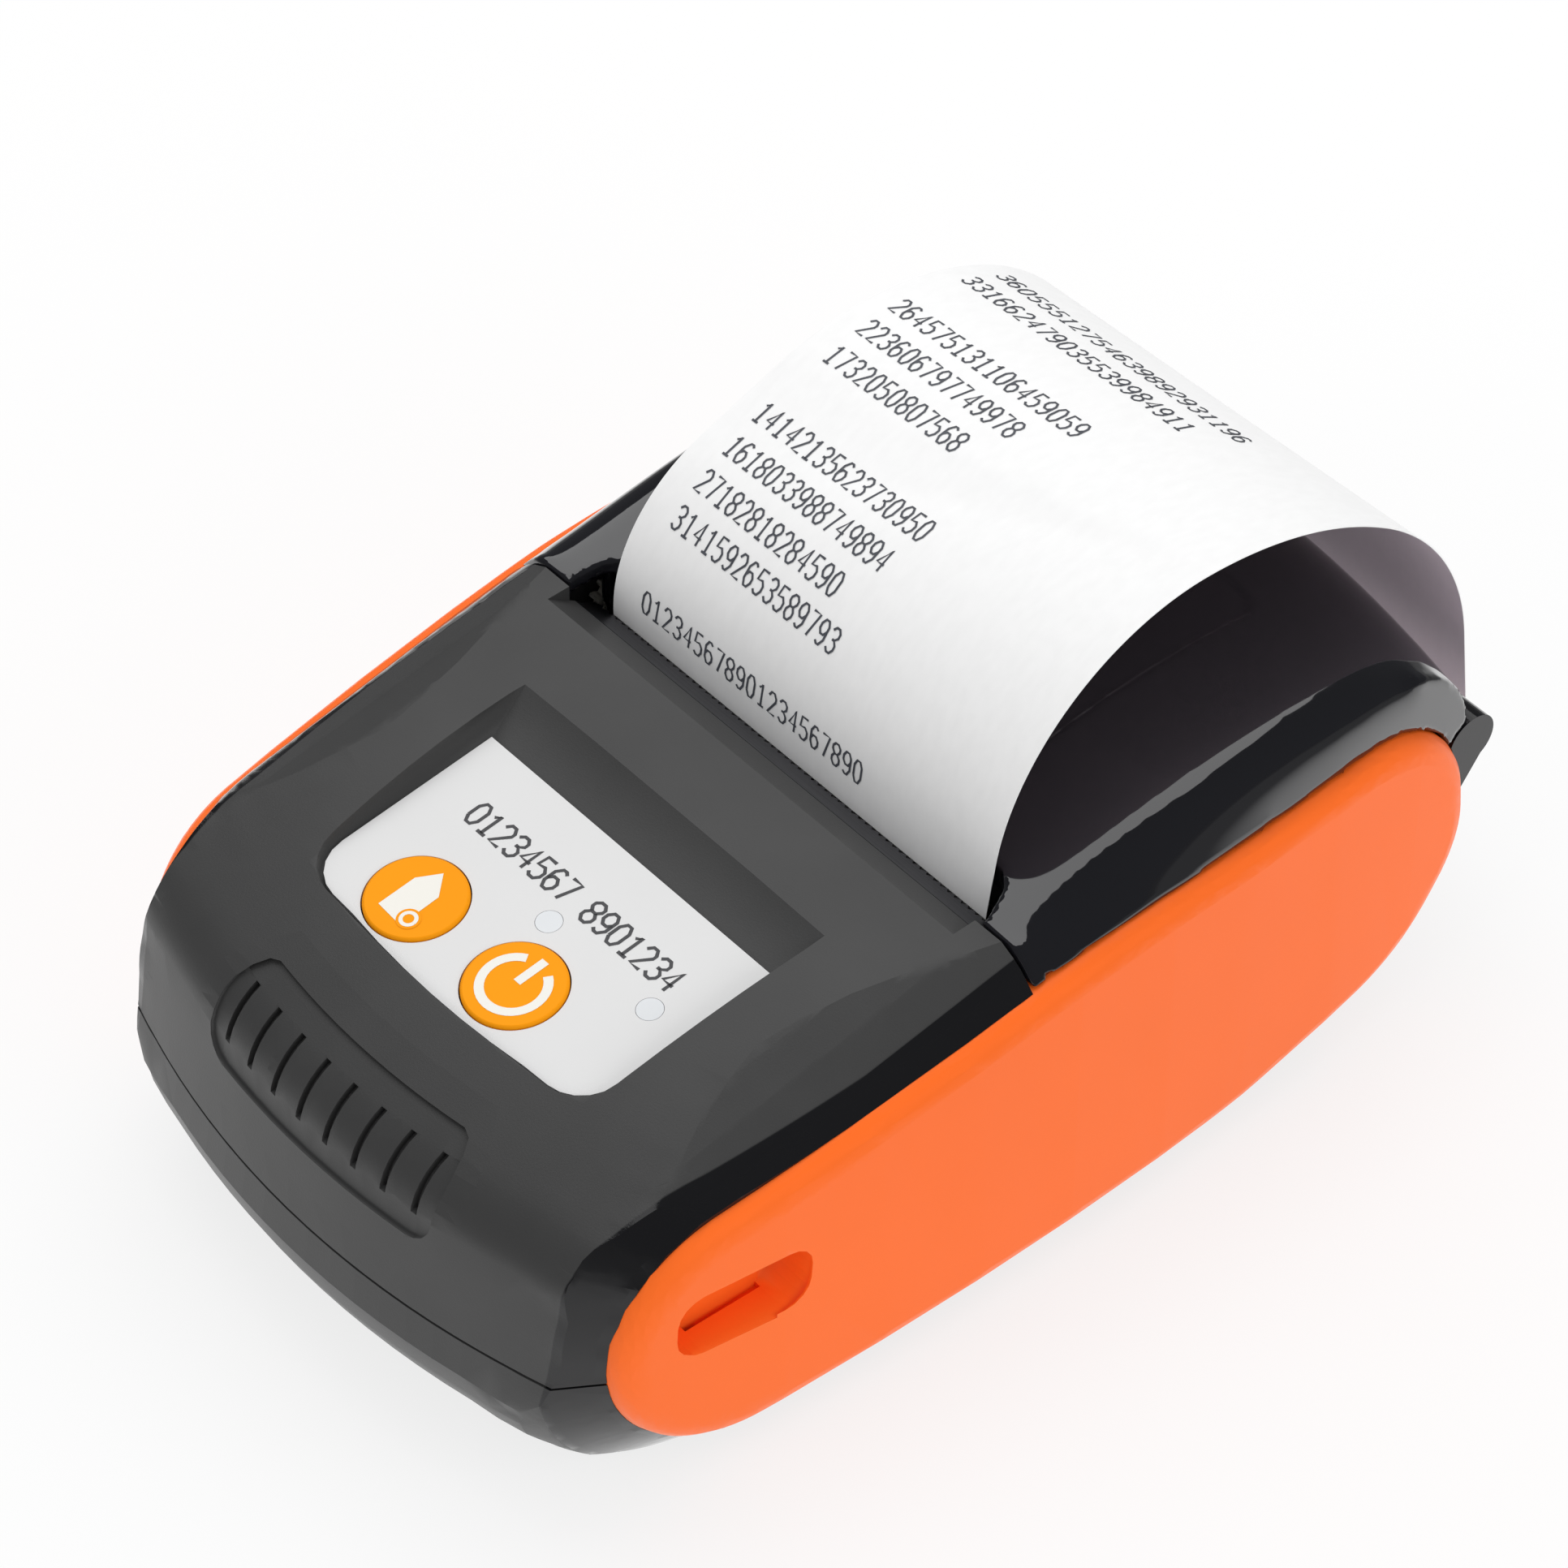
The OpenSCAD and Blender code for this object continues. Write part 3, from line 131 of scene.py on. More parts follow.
def add_light():
    """A white room that polished surfaces see as dark, and a softbox behind that they mirror."""
    world = bpy.data.worlds.new("studio")
    bpy.context.scene.world = world
    world.use_nodes = True
    nodes, links = world.node_tree.nodes, world.node_tree.links
    room = nodes["Background"]
    room.inputs["Color"].default_value = (1, 1, 1, 1)
    room.inputs["Strength"].default_value = 0.60
    dim = nodes.new("ShaderNodeBackground")
    dim.inputs["Color"].default_value = (0.93, 0.95, 1, 1)
    dim.inputs["Strength"].default_value = 0.12
    mix = nodes.new("ShaderNodeMixShader")
    path = nodes.new("ShaderNodeLightPath")
    links.new(path.outputs["Is Glossy Ray"], mix.inputs[0])
    links.new(room.outputs[0], mix.inputs[1])
    links.new(dim.outputs[0], mix.inputs[2])
    links.new(mix.outputs[0], nodes["World Output"].inputs["Surface"])
    add_area("top_softbox", 235, 60, 0.9, (0.95, 0.9), 4.8)
    add_area("side_softbox", 100, 28, 0.9, (0.8, 0.4), 2.0, mirrored=False)
    add_area("front_softbox", 0, 35, 1.0, (0.5, 0.3), 1.0, mirrored=False)
    view = bpy.context.scene.view_settings
    view.view_transform = "Standard"
    view.look = "None"


# The floor, in metres: half its width, and where its mirrored light begins and ends to fade.
FLOOR_HALF = 3.0
FADE_START = 0.12
FADE_END = 0.26


def add_floor():
    """A lit white table: its shadow stays soft, and polished sides mirror only its near part."""
    corners = [(x * FLOOR_HALF, y * FLOOR_HALF, 0) for x, y in ((-1, -1), (1, -1), (1, 1), (-1, 1))]
    made = Nodes("floor", (0.20, 0.20, 0.20), 0.9, {"Specular_IOR_Level": 0.0})
    made.shader.inputs["Emission Color"].default_value = (1, 1, 1, 1)
    far = made.add("VectorMath", operation="LENGTH")
    made.link(made.place, far.inputs[0])
    near = made.add("MapRange", interpolation_type="SMOOTHSTEP")
    near.inputs["From Min"].default_value = FADE_START
    near.inputs["From Max"].default_value = FADE_END
    near.inputs["To Min"].default_value = 1.1
    near.inputs["To Max"].default_value = 0.0
    made.link(far.outputs["Value"], near.inputs["Value"])
    path = made.add("LightPath")
    glow = made.add("Mix")
    glow.inputs[2].default_value = 0.77
    made.link(path.outputs["Is Glossy Ray"], glow.inputs[0])
    made.link(near.outputs["Result"], glow.inputs[3])
    made.link(glow.outputs[0], made.shader.inputs["Emission Strength"])
    mesh_object("floor", corners, [(0, 1, 2, 3)], [made.material])


def mesh_object(name, points, faces, materials):
    mesh = bpy.data.meshes.new(name)
    mesh.from_pydata([tuple(p) for p in points], [], faces)
    mesh.update()
    for material in materials:
        mesh.materials.append(material)
    return link(bpy.data.objects.new(name, mesh))


# Materials. Object coordinates are metres, so a scale of 1000 gives details of about a millimetre.
class Nodes:
    def __init__(self, name, colour, roughness, sockets):
        self.material = bpy.data.materials.new(name)
        self.material.use_nodes = True
        self.tree = self.material.node_tree
        self.shader = self.tree.nodes["Principled BSDF"]
        self.shader.inputs["Base Color"].default_value = (*colour, 1)
        self.shader.inputs["Roughness"].default_value = roughness
        for socket, value in sockets.items():
            self.shader.inputs[socket.replace("_", " ")].default_value = value
        self.place = self.add("TexCoord").outputs["Object"]

    def add(self, kind, **values):
        item = self.tree.nodes.new("ShaderNode" + kind)
        for key, value in values.items():
            setattr(item, key, value)
        return item

    def link(self, source, target):
        self.tree.links.new(source, target)

    def stretched(self, scale):
        item = self.add("Mapping")
        item.inputs["Scale"].default_value = scale
        self.link(self.place, item.inputs["Vector"])
        return item.outputs["Vector"]

    def noise(self, scale, detail=3, place=None):
        item = self.add("TexNoise")
        item.inputs["Scale"].default_value = scale
        item.inputs["Detail"].default_value = detail
        self.link(place or self.place, item.inputs["Vector"])
        return item.outputs["Fac"]

    def ramp(self, value, low, high, start=0.3, end=0.7):
        item = self.add("ValToRGB")
        item.color_ramp.elements[0].position = start
        item.color_ramp.elements[0].color = (*low, 1)
        item.color_ramp.elements[1].position = end
        item.color_ramp.elements[1].color = (*high, 1)
        self.link(value, item.inputs["Fac"])
        return item.outputs["Color"]

    def span(self, value, low, high):
        item = self.add("MapRange")
        item.inputs["To Min"].default_value = low
        item.inputs["To Max"].default_value = high
        self.link(value, item.inputs["Value"])
        return item.outputs["Result"]

    def math(self, operation, a, b=0):
        item = self.add("Math", operation=operation)
        for socket, value in zip(item.inputs, (a, b)):
            if isinstance(value, (int, float)):
                socket.default_value = value
            else:
                self.link(value, socket)
        return item.outputs[0]

    def bump(self, height, strength, depth):
        item = self.add("Bump")
        item.inputs["Strength"].default_value = strength
        item.inputs["Distance"].default_value = depth * MM
        self.link(height, item.inputs["Height"])
        normal = self.shader.inputs["Normal"]
        if normal.is_linked:
            self.link(normal.links[0].from_socket, item.inputs["Normal"])
        self.link(item.outputs["Normal"], normal)


def surface(name, colour, roughness, grain=0.0, grain_size=0.3, mottle=0.05, blotch=14.0, spread=0.04,
            **sockets):
    """A moulded or coated surface: fine grain, slow changes of colour and of roughness."""
    made = Nodes(name, colour, roughness, sockets)
    low = [c * (1 - mottle) for c in colour]
    high = [min(1, c * (1 + mottle)) for c in colour]
    made.link(made.ramp(made.noise(1000 / blotch), low, high), made.shader.inputs["Base Color"])
    made.link(made.span(made.noise(700 / blotch, 5), roughness - spread, roughness + spread),
              made.shader.inputs["Roughness"])
    if grain:
        made.bump(made.noise(1000 / grain_size, 2), grain, 0.05)
    return made.material


def housing_material():
    """Satin on the top and the nose, gloss outside the crease beside each side panel."""
    made = Nodes("housing", (0.05, 0.05, 0.05), 0.45, {"Specular_IOR_Level": 0.3})
    apart = made.add("SeparateXYZ")
    made.link(made.place, apart.inputs[0])
    half = made.math("ABSOLUTE", apart.outputs["X"])
    squared = made.math("MULTIPLY", apart.outputs["Y"], apart.outputs["Y"])
    drawn_in = made.math("SUBTRACT", CREASE_FRONT_X * MM, made.math("MULTIPLY", squared, CREASE_BEND / MM))
    crease = made.math("MINIMUM", drawn_in, CREASE_X * MM)
    mask = made.add("MapRange")
    mask.inputs["From Min"].default_value = -CREASE_BLUR * MM
    mask.inputs["From Max"].default_value = CREASE_BLUR * MM
    made.link(made.math("SUBTRACT", half, crease), mask.inputs["Value"])
    tone = made.add("Mix", data_type="RGBA")
    made.link(mask.outputs["Result"], tone.inputs[0])
    made.link(made.ramp(made.noise(70), (0.042, 0.042, 0.042), (0.048, 0.048, 0.048)), tone.inputs[6])
    tone.inputs[7].default_value = (*GLOSS_COLOUR, 1)
    made.link(tone.outputs[2], made.shader.inputs["Base Color"])
    shine = made.add("Mix")
    made.link(mask.outputs["Result"], shine.inputs[0])
    made.link(made.span(made.noise(50, 5), 0.40, 0.50), shine.inputs[2])
    made.link(made.span(made.noise(50, 5), 0.10, 0.16), shine.inputs[3])
    made.link(shine.outputs[0], made.shader.inputs["Roughness"])
    made.bump(made.noise(4500, 2), 0.25, 0.05)
    return made.material


def brushed(name, colour, roughness, along=(0.02, 1, 1), strength=0.25, **sockets):
    """Metal with fine lines along one axis."""
    made = Nodes(name, colour, roughness, {"Metallic": 1.0, **sockets})
    lines = made.noise(4000, 4, made.stretched(along))
    made.link(made.span(lines, roughness - 0.1, roughness + 0.12), made.shader.inputs["Roughness"])
    made.link(made.ramp(made.noise(120), [c * 0.9 for c in colour], colour), made.shader.inputs["Base Color"])
    made.bump(lines, strength, 0.01)
    return made.material


def board_material():
    """Solder mask over copper tracks."""
    made = Nodes("board", (0.02, 0.16, 0.06), 0.35, {"Coat_Weight": 0.3})
    cells = made.add("TexVoronoi", distance="CHEBYCHEV", feature="DISTANCE_TO_EDGE")
    cells.inputs["Scale"].default_value = 420
    made.link(made.place, cells.inputs["Vector"])
    tracks = cells.outputs["Distance"]
    made.link(made.ramp(tracks, (0.05, 0.30, 0.10), (0.012, 0.11, 0.045), 0.05, 0.09),
              made.shader.inputs["Base Color"])
    made.bump(tracks, 0.3, 0.03)
    return made.material


def roll_material():
    """Paper wound in layers: rings on the roll's ends, round its axis along X."""
    made = Nodes("paper_roll", (0.86, 0.86, 0.85), 0.75, {})
    shift = made.add("Mapping")
    shift.inputs["Location"].default_value = (0, -ROLL[0] * MM, -ROLL[1] * MM)
    flat = made.add("Mapping")
    flat.inputs["Scale"].default_value = (0, 1, 1)
    made.link(made.place, shift.inputs["Vector"])
    made.link(shift.outputs["Vector"], flat.inputs["Vector"])
    far = made.add("VectorMath", operation="LENGTH")
    made.link(flat.outputs["Vector"], far.inputs[0])
    waves = made.math("SINE", made.math("MULTIPLY", far.outputs["Value"], 2 * math.pi / (RING_PITCH * MM)))
    made.link(made.ramp(waves, (0.70, 0.70, 0.68), (0.88, 0.88, 0.87), 0.0, 0.6),
              made.shader.inputs["Base Color"])
    made.bump(made.noise(1500), 0.15, 0.02)
    return made.material


def paper_material(name, colour):
    made = Nodes(name, colour, 0.62, {})
    fibres = made.noise(900, 6, made.stretched((1, 0.5, 0.5)))
    made.link(made.ramp(fibres, [c * 0.97 for c in colour], colour), made.shader.inputs["Base Color"])
    made.bump(fibres, 0.12, 0.01)
    return made.material


MATERIALS = {
    "satin": housing_material(),
    "band": surface("housing_gloss", GLOSS_COLOUR, 0.13, mottle=0.02, spread=0.02,
                    Specular_IOR_Level=0.3),
    "panel": surface("panel_orange", (0.98, 0.158, 0.018), 0.40, grain=0.12, grain_size=0.3, mottle=0.02,
                     blotch=30, Specular_IOR_Level=0.15),
    "lid": surface("lid_gloss", (0.006, 0.006, 0.008), 0.05, mottle=0.02, spread=0.02, blotch=22,
                   Specular_IOR_Level=0.85),
    "label": surface("label_film", (0.66, 0.66, 0.66), 0.30, grain=0.05, grain_size=0.5, mottle=0.01),
    "mark": surface("label_ink", (0.035, 0.035, 0.04), 0.45, mottle=0.02),
    "key": surface("key_amber", (0.92, 0.32, 0.005), 0.5, mottle=0.02, Specular_IOR_Level=0.06),
    "symbol": surface("key_white", (0.80, 0.78, 0.72), 0.35, mottle=0.01),
    "window": surface("window_frosted", (0.66, 0.68, 0.70), 0.28, mottle=0.02),
    "steel": brushed("steel_brushed", (0.55, 0.56, 0.58), 0.32),
    "dark_steel": brushed("steel_black", (0.10, 0.10, 0.11), 0.38),
    "brass": brushed("brass_turned", (0.75, 0.53, 0.24), 0.28),
    "aluminium": brushed("aluminium", (0.72, 0.73, 0.74), 0.36, along=(0.05, 1, 1)),
    "black": surface("plastic_black", (0.02, 0.02, 0.022), 0.5, grain=0.2, grain_size=0.2),
    "rubber": surface("rubber_black", (0.018, 0.018, 0.018), 0.72, grain=0.35, grain_size=0.12),
    "nylon": surface("nylon_natural", (0.76, 0.74, 0.66), 0.5, grain=0.1),
    "ceramic": surface("ceramic_glazed", (0.30, 0.24, 0.20), 0.15),
    "wrap": surface("battery_wrap", (0.03, 0.09, 0.32), 0.22, grain=0.1, grain_size=3.0, Coat_Weight=0.4),
    "card": surface("cardboard", (0.42, 0.31, 0.19), 0.8, grain=0.4, grain_size=0.5, mottle=0.12, blotch=3),
    "board": board_material(),
    "roll": roll_material(),
    "paper": paper_material("receipt_face", (0.88, 0.88, 0.88)),
    # Painted shade: the mauve tint of the receipt's inner face stands in for the dim, purple-cast light
    # inside the paper loop, not for a colour of the paper.
    "paper_back_painted_shade": paper_material("receipt_back_painted_shade", (0.90, 0.76, 0.86)),
    "ink": surface("receipt_ink", (0.07, 0.075, 0.09), 0.6, mottle=0.15, blotch=1.5),
}

PLAIN_NODES = {
    "control_label": "label", "status_lights": "window", "key_board": "board", "main_board": "board",
    "key_switches": "black", "board_chips": "black", "paper_sensor": "black", "tear_bar": "dark_steel",
    "housing_screws": "dark_steel", "mech_frame": "steel", "platen_shaft": "steel", "hinge_pin": "steel",
    "drive_motor": "steel", "head_spring": "steel", "port": "steel", "motor_pinion": "brass",
    "platen_rubber": "rubber", "rubber_feet": "rubber", "platen_bushes": "nylon", "platen_gear": "nylon",
    "idler_gear": "nylon", "print_head": "ceramic", "heat_sink": "aluminium", "battery_pack": "wrap",
    "paper_roll": "roll", "roll_core": "card", "receipt": "paper", "paper_feed": "paper",
}


def paint_nodes():
    for name, key in PLAIN_NODES.items():
        for holder in NODES[name].material_slots:
            holder.material = MATERIALS[key]


def unit(v):
    size = math.hypot(*v)
    return (v[0] / size, v[1] / size)


def arc(centre, radius, start, turn, steps):
    return [(centre[0] + radius * math.cos(start + turn * i / steps),
             centre[1] + radius * math.sin(start + turn * i / steps)) for i in range(steps + 1)]


def corner_arc(a, b, c, radius):
    """Centre, first angle and turn of the arc that rounds corner b of the path a, b, c."""
    u = unit((a[0] - b[0], a[1] - b[1]))
    v = unit((c[0] - b[0], c[1] - b[1]))
    half = math.acos(u[0] * v[0] + u[1] * v[1]) / 2
    w = unit((u[0] + v[0], u[1] + v[1]))
    far = radius / math.sin(half)
    near = radius / math.tan(half)
    mid = (b[0] + w[0] * far, b[1] + w[1] * far)
    s = (b[0] + u[0] * near - mid[0], b[1] + u[1] * near - mid[1])
    e = (b[0] + v[0] * near - mid[0], b[1] + v[1] * near - mid[1])
    return mid, math.atan2(s[1], s[0]), math.atan2(s[0] * e[1] - s[1] * e[0], s[0] * e[0] + s[1] * e[1])


# The CAD outlines round their corners in five steps. The skins follow the true arcs instead.
TRUE_STEPS = 5


class Outline:
    """Closed outline in (Y, Z) whose corners are rounded by arcs; tells how far its facets cut in."""

    def __init__(self, corners, radii):
        count = len(corners)
        points, arcs = [], []
        for i in range(count):
            a, b, c = corners[i - 1], corners[i], corners[(i + 1) % count]
            mid, start, turn = corner_arc(a, b, c, radii[i])
            for j in range(TRUE_STEPS + 1):
                angle = start + turn * j / TRUE_STEPS
                points.append((mid[0] + radii[i] * math.cos(angle), mid[1] + radii[i] * math.sin(angle)))
                arcs.append((*mid, radii[i], angle, turn / TRUE_STEPS if j < TRUE_STEPS else 0))
        self.start = np.array(points)
        self.step = np.roll(self.start, -1, axis=0) - self.start
        self.arcs = np.array(arcs)

    def nearest(self, y, z):
        """Distance to the facets, and the shift in Y and Z from there to the true arc."""
        away = np.array((y, z)) - self.start
        t = np.clip((away * self.step).sum(1) / (self.step ** 2).sum(1), 0, 1)
        gap = np.hypot(*(away - self.step * t[:, None]).T)
        k = int(np.argmin(gap))
        mid_y, mid_z, radius, angle, turn = self.arcs[k]
        if turn == 0:
            return gap[k], 0.0, 0.0
        angle += turn * t[k]
        flat = self.start[k] + self.step[k] * t[k]
        return gap[k], mid_y + radius * math.cos(angle) - flat[0], mid_z + radius * math.sin(angle) - flat[1]


PANEL_Y0, PANEL_Y1, PANEL_Z0, PANEL_Z1, PANEL_Z2 = -56.9, 59.6, 3.2, 33.2, 41.6
RIM_X = 39.9
SHELL_X = 37.9
BAND_IN = 7.3
CORE_IN = 18
CORE_GROW = 4
GROW_STEP = 0.1
SLOT_FLOOR = 35.55

# How far from an outline its true arc still moves the mesh: in full up to the first, not past the second.
PANEL_FADE = (3, 7)
EDGE_FADE = (0.2, 1.5)
SKIN_FADE = (0.4, 2.2)

# Faces near the panels' outline are cut finer than this before they move.
FINE_LENGTH = 1.6
FINE_X = 28
FINE_REACH = 9

# The lid's even mesh: its grid, which edges stay sharp, and how near to them nothing is smoothed.
GRID = 0.42
KEEP_ANGLE = math.radians(50)
KEEP_STEP = 0.5
KEEP_REACH = 1.1
SMOOTH_ROUNDS = 110


def panel_outline():
    return Outline(
        [(PANEL_Y0 + 1, PANEL_Z0 - 0.2), (PANEL_Y0 + 25, PANEL_Z0), (PANEL_Y1 - 35.8, PANEL_Z0 + 0.1),
         (PANEL_Y1 - 9.9, PANEL_Z0 + 3.5), (PANEL_Y1, PANEL_Z0 + 14.8), (PANEL_Y1 - 2.3, PANEL_Z2 - 1.8),
         (TEAR[0] + 6.4, PANEL_Z2), (PANEL_Y0, PANEL_Z1)],
        (16.5, 60, 100, 20, 13, 17, 150, 15))


def band_outline(g):
    s = 1.5 * g
    return Outline(
        [(PANEL_Y0 + 5.4 - s, PANEL_Z0 + 2.3 - g), (PANEL_Y0 + 35, PANEL_Z0 + 0.3 - g),
         (PANEL_Y1 - 36.5, PANEL_Z0 - g), (PANEL_Y1 - 12.2 + 0.5 * s, PANEL_Z0 + 5.8 - g),
         (PANEL_Y1 - 6.7 + s, PANEL_Z0 + 14.3 - 0.3 * g), (PANEL_Y1 - 6 + s, PANEL_Z2 - 4 + g),
         (TEAR[0] + 4.7, PANEL_Z2 + 0.4 + g), (PANEL_Y0 + 6.4 - s, PANEL_Z1 - 1.2 + g)],
        (14 + g, 60, 100, 13 + g, 13 + g, 14 + g, 120, 13 + g))


def band_grow(x):
    """How far the band's outline has grown at half-width x."""
    inward = RIM_X - abs(x)
    if inward <= BAND_IN:
        return max(inward, 0)
    return BAND_IN + CORE_GROW * min((inward - BAND_IN) / (CORE_IN - BAND_IN), 1)


PANEL = panel_outline()
BANDS = {}


def band_at(x):
    key = round(band_grow(x) / GROW_STEP)
    if key not in BANDS:
        BANDS[key] = band_outline(key * GROW_STEP)
    return BANDS[key]


def fade(gap, near, far):
    t = min(max((gap - near) / (far - near), 0), 1)
    return 1 - t * t * (3 - 2 * t)


def true_panel(place):
    gap, dy, dz = PANEL.nearest(place.y, place.z)
    weight = fade(gap, *PANEL_FADE)
    return dy * weight, dz * weight


def true_shell(place):
    gap, dy, dz = PANEL.nearest(place.y, place.z)
    edge = fade(gap, *EDGE_FADE) if abs(place.x) > SHELL_X - 5 else 0
    far, by, bz = band_at(place.x).nearest(place.y, place.z)
    skin = fade(far, *SKIN_FADE) * (1 - edge) if abs(place.x) > RIM_X - CORE_IN else 0
    return dy * edge + by * skin, dz * edge + bz * skin


def refine(work, longest, chosen):
    """Halve the chosen edges until none is longer than the limit."""
    for _ in range(4):
        edges = [e for e in work.edges if e.calc_length() > longest * MM and chosen(e)]
        if not edges:
            return
        bmesh.ops.subdivide_edges(work, edges=edges, cuts=1)
        bmesh.ops.triangulate(work, faces=[f for f in work.faces if len(f.verts) > 4])


def near_corner(edge):
    middle = (edge.verts[0].co + edge.verts[1].co) / 2 / MM
    if abs(middle.x) < FINE_X:
        return False
    return PANEL.nearest(middle.y, middle.z)[0] < FINE_REACH


def softened(work, rounds):
    """The same solid on an even mesh, its shallow creases smoothed away and its sharp edges kept."""
    kept = []
    for edge in work.edges:
        if edge.is_manifold and edge.calc_face_angle(9) > KEEP_ANGLE:
            a, b = (v.co.copy() for v in edge.verts)
            steps = max(1, math.ceil((b - a).length / (KEEP_STEP * MM)))
            kept += [a.lerp(b, i / steps) for i in range(steps + 1)]
    tree = KDTree(len(kept))
    for i, point in enumerate(kept):
        tree.insert(point, i)
    tree.balance()
    rough = bpy.data.meshes.new("rough")
    work.to_mesh(rough)
    work.free()
    holder = link(bpy.data.objects.new("rough", rough))
    grid = holder.modifiers.new("grid", "REMESH")
    grid.mode = "VOXEL"
    grid.voxel_size = GRID * MM
    even = bpy.data.meshes.new_from_object(holder.evaluated_get(bpy.context.evaluated_depsgraph_get()))
    work = bmesh.new()
    work.from_mesh(even)
    bpy.data.objects.remove(holder)
    bpy.data.meshes.remove(rough)
    bpy.data.meshes.remove(even)
    loose = [v for v in work.verts if tree.find(v.co)[2] > KEEP_REACH * MM]
    for _ in range(rounds):
        bmesh.ops.smooth_vert(work, verts=loose, factor=0.5, use_axis_x=True, use_axis_y=True,
                              use_axis_z=True)
    return work


def dress(node, body, materials, bevel=0.2, choose=None, sharp=28, crease=34, true=None, soften=0):
    """A copy of a node's mesh with softened edges and smooth faces, in the node's place."""
    mesh = NODES[node].data.copy()
    skin = link(bpy.data.objects.new(node + "_skin", mesh))
    work = bmesh.new()
    work.from_mesh(mesh)
    bmesh.ops.remove_doubles(work, verts=work.verts, dist=0.004 * MM)
    bmesh.ops.dissolve_degenerate(work, edges=work.edges, dist=0.002 * MM)
    bmesh.ops.dissolve_limit(work, angle_limit=math.radians(0.6), verts=work.verts, edges=work.edges)
    if true:
        bmesh.ops.triangulate(work, faces=work.faces)
        refine(work, FINE_LENGTH, near_corner)
        shifts = [true(v.co / MM) for v in work.verts]
        for v, (dy, dz) in zip(work.verts, shifts):
            v.co += mm(0, dy, dz)
    if soften:
        work = softened(work, soften)
    if choose:
        for face in work.faces:
            face.material_index = choose(face)
    # Only outward edges are rounded: a filled inner corner would meet a piece that moves in it.
    weights = work.edges.layers.float.new("bevel_weight_edge")
    for edge in work.edges:
        rounded = edge.is_manifold and edge.is_convex and edge.calc_face_angle() > math.radians(sharp)
        edge[weights] = 1.0 if rounded else 0.0
    mesh.materials.clear()
    for key in materials:
        mesh.materials.append(MATERIALS[key])
    work.to_mesh(mesh)
    work.free()
    if bevel:
        modifier = skin.modifiers.new("bevel", "BEVEL")
        modifier.width = bevel * MM
        modifier.segments = 2
        modifier.limit_method = "WEIGHT"
        modifier.use_clamp_overlap = True
    for polygon in mesh.polygons:
        polygon.use_smooth = True
    mesh.set_sharp_from_angle(angle=math.radians(crease))
    weigh = skin.modifiers.new("weigh", "WEIGHTED_NORMAL")
    weigh.keep_sharp = True
    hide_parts(node)
    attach(skin, body)
    return skin


# A face of the gloss band lies outside this half-width, with its normal's X between these values.
BAND_X = RIM_X - 11
BAND_TILT = (0.56, 0.97)


def is_band(face):
    """1 on the slanting band round a side panel, 0 elsewhere."""
    centre = face.calc_center_median() / MM
    outward = face.normal.x * math.copysign(1, centre.x)
    steep, flat = BAND_TILT
    return 1 if abs(centre.x) > BAND_X and steep < outward < flat else 0


def add_port_cover():
    """The slot shows a plain floor, so a thin cover lies over the connector's opening."""
    low, high = (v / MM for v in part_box("port"))
    margin = 0.6
    sunk, proud = 0.1, 0.15
    x0, x1 = SLOT_FLOOR - sunk, SLOT_FLOOR + proud
    y0, y1, z0, z1 = low.y - margin, high.y + margin, low.z - margin, high.z + margin
    corners = [mm(x, y, z) for x in (x0, x1) for y, z in ((y0, z0), (y1, z0), (y1, z1), (y0, z1))]
    faces = [(3, 2, 1, 0), (4, 5, 6, 7), (0, 1, 5, 4), (1, 2, 6, 5), (2, 3, 7, 6), (3, 0, 4, 7)]
    cover = mesh_object("port_cover", corners, faces, [MATERIALS["panel"]])
    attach(cover, "housing")


def add_shells():
    dress("top_housing", "housing", ["satin", "band"], crease=17, choose=is_band, true=true_shell)
    dress("bottom_housing", "housing", ["satin", "band"], crease=17, choose=is_band, true=true_shell)
    dress("paper_bay", "housing", ["satin"], bevel=0.15)
    dress("side_panel_left", "housing", ["panel"], bevel=0, true=true_panel)
    dress("side_panel_right", "housing", ["panel"], bevel=0.25, sharp=40, true=true_panel)
    dress("lid", "lid", ["lid"], bevel=0, crease=60, soften=SMOOTH_ROUNDS)
    dress("feed_button", "feed_key", ["key"], bevel=0.3)
    dress("power_button", "power_key", ["key"], bevel=0.3)


# Paper: the web from the roll to the tear edge, and the loop of the receipt.
def fillet(a, b, c, radius, steps, share=1.0):
    mid, start, turn = corner_arc(a, b, c, radius)
    return arc(mid, radius, start, turn * share, steps)


LOOP_H = 29.0
LOOP_RIGHT = [(0.05, 0.0), (4.9, LOOP_H + 1.9), (42.2, LOOP_H - 0.9), (65.7, LOOP_H - 17.2),
              (68.1, LOOP_H - 38.7)]
LOOP_LEFT = [(0.05, 0.0), (0.05, LOOP_H - 15.5), (36.2, LOOP_H - 2.7), (70.5, LOOP_H - 19.8),
             (68.2, LOOP_H - 46.4)]
RIGHT_R = (26.5, 46, 34)
LEFT_R = (18, 35, 34)
LEFT_SHARE = 0.82
RIGHT_END = 10.5
LEFT_END = 7.5
COLUMNS = 28
ROW_STEP = 0.8
FILLET_STEPS = 32
END_STEPS = 8

# The web's distance from the platen, its straight rise off it, and the length of its facets.
WEB_GAP = 0.3
WEB_RISE = 1.8
WEB_STEP = 1.5


def loop_edge(corners, radii, share, end):
    """One edge of the loop: fillets round the corners, then a straight end of the given length."""
    points = [corners[0]]
    for i, radius in enumerate(radii):
        points += fillet(*corners[i:i + 3], radius, FILLET_STEPS, share if i == 2 else 1.0)
    last = points[-1]
    u = unit((last[0] - points[-2][0], last[1] - points[-2][1]))
    points += [(last[0] + u[0] * end * i / END_STEPS, last[1] + u[1] * end * i / END_STEPS)
               for i in range(1, END_STEPS + 1)]
    return [(TEAR[0] + p[0], TEAR[1] + p[1]) for p in points]


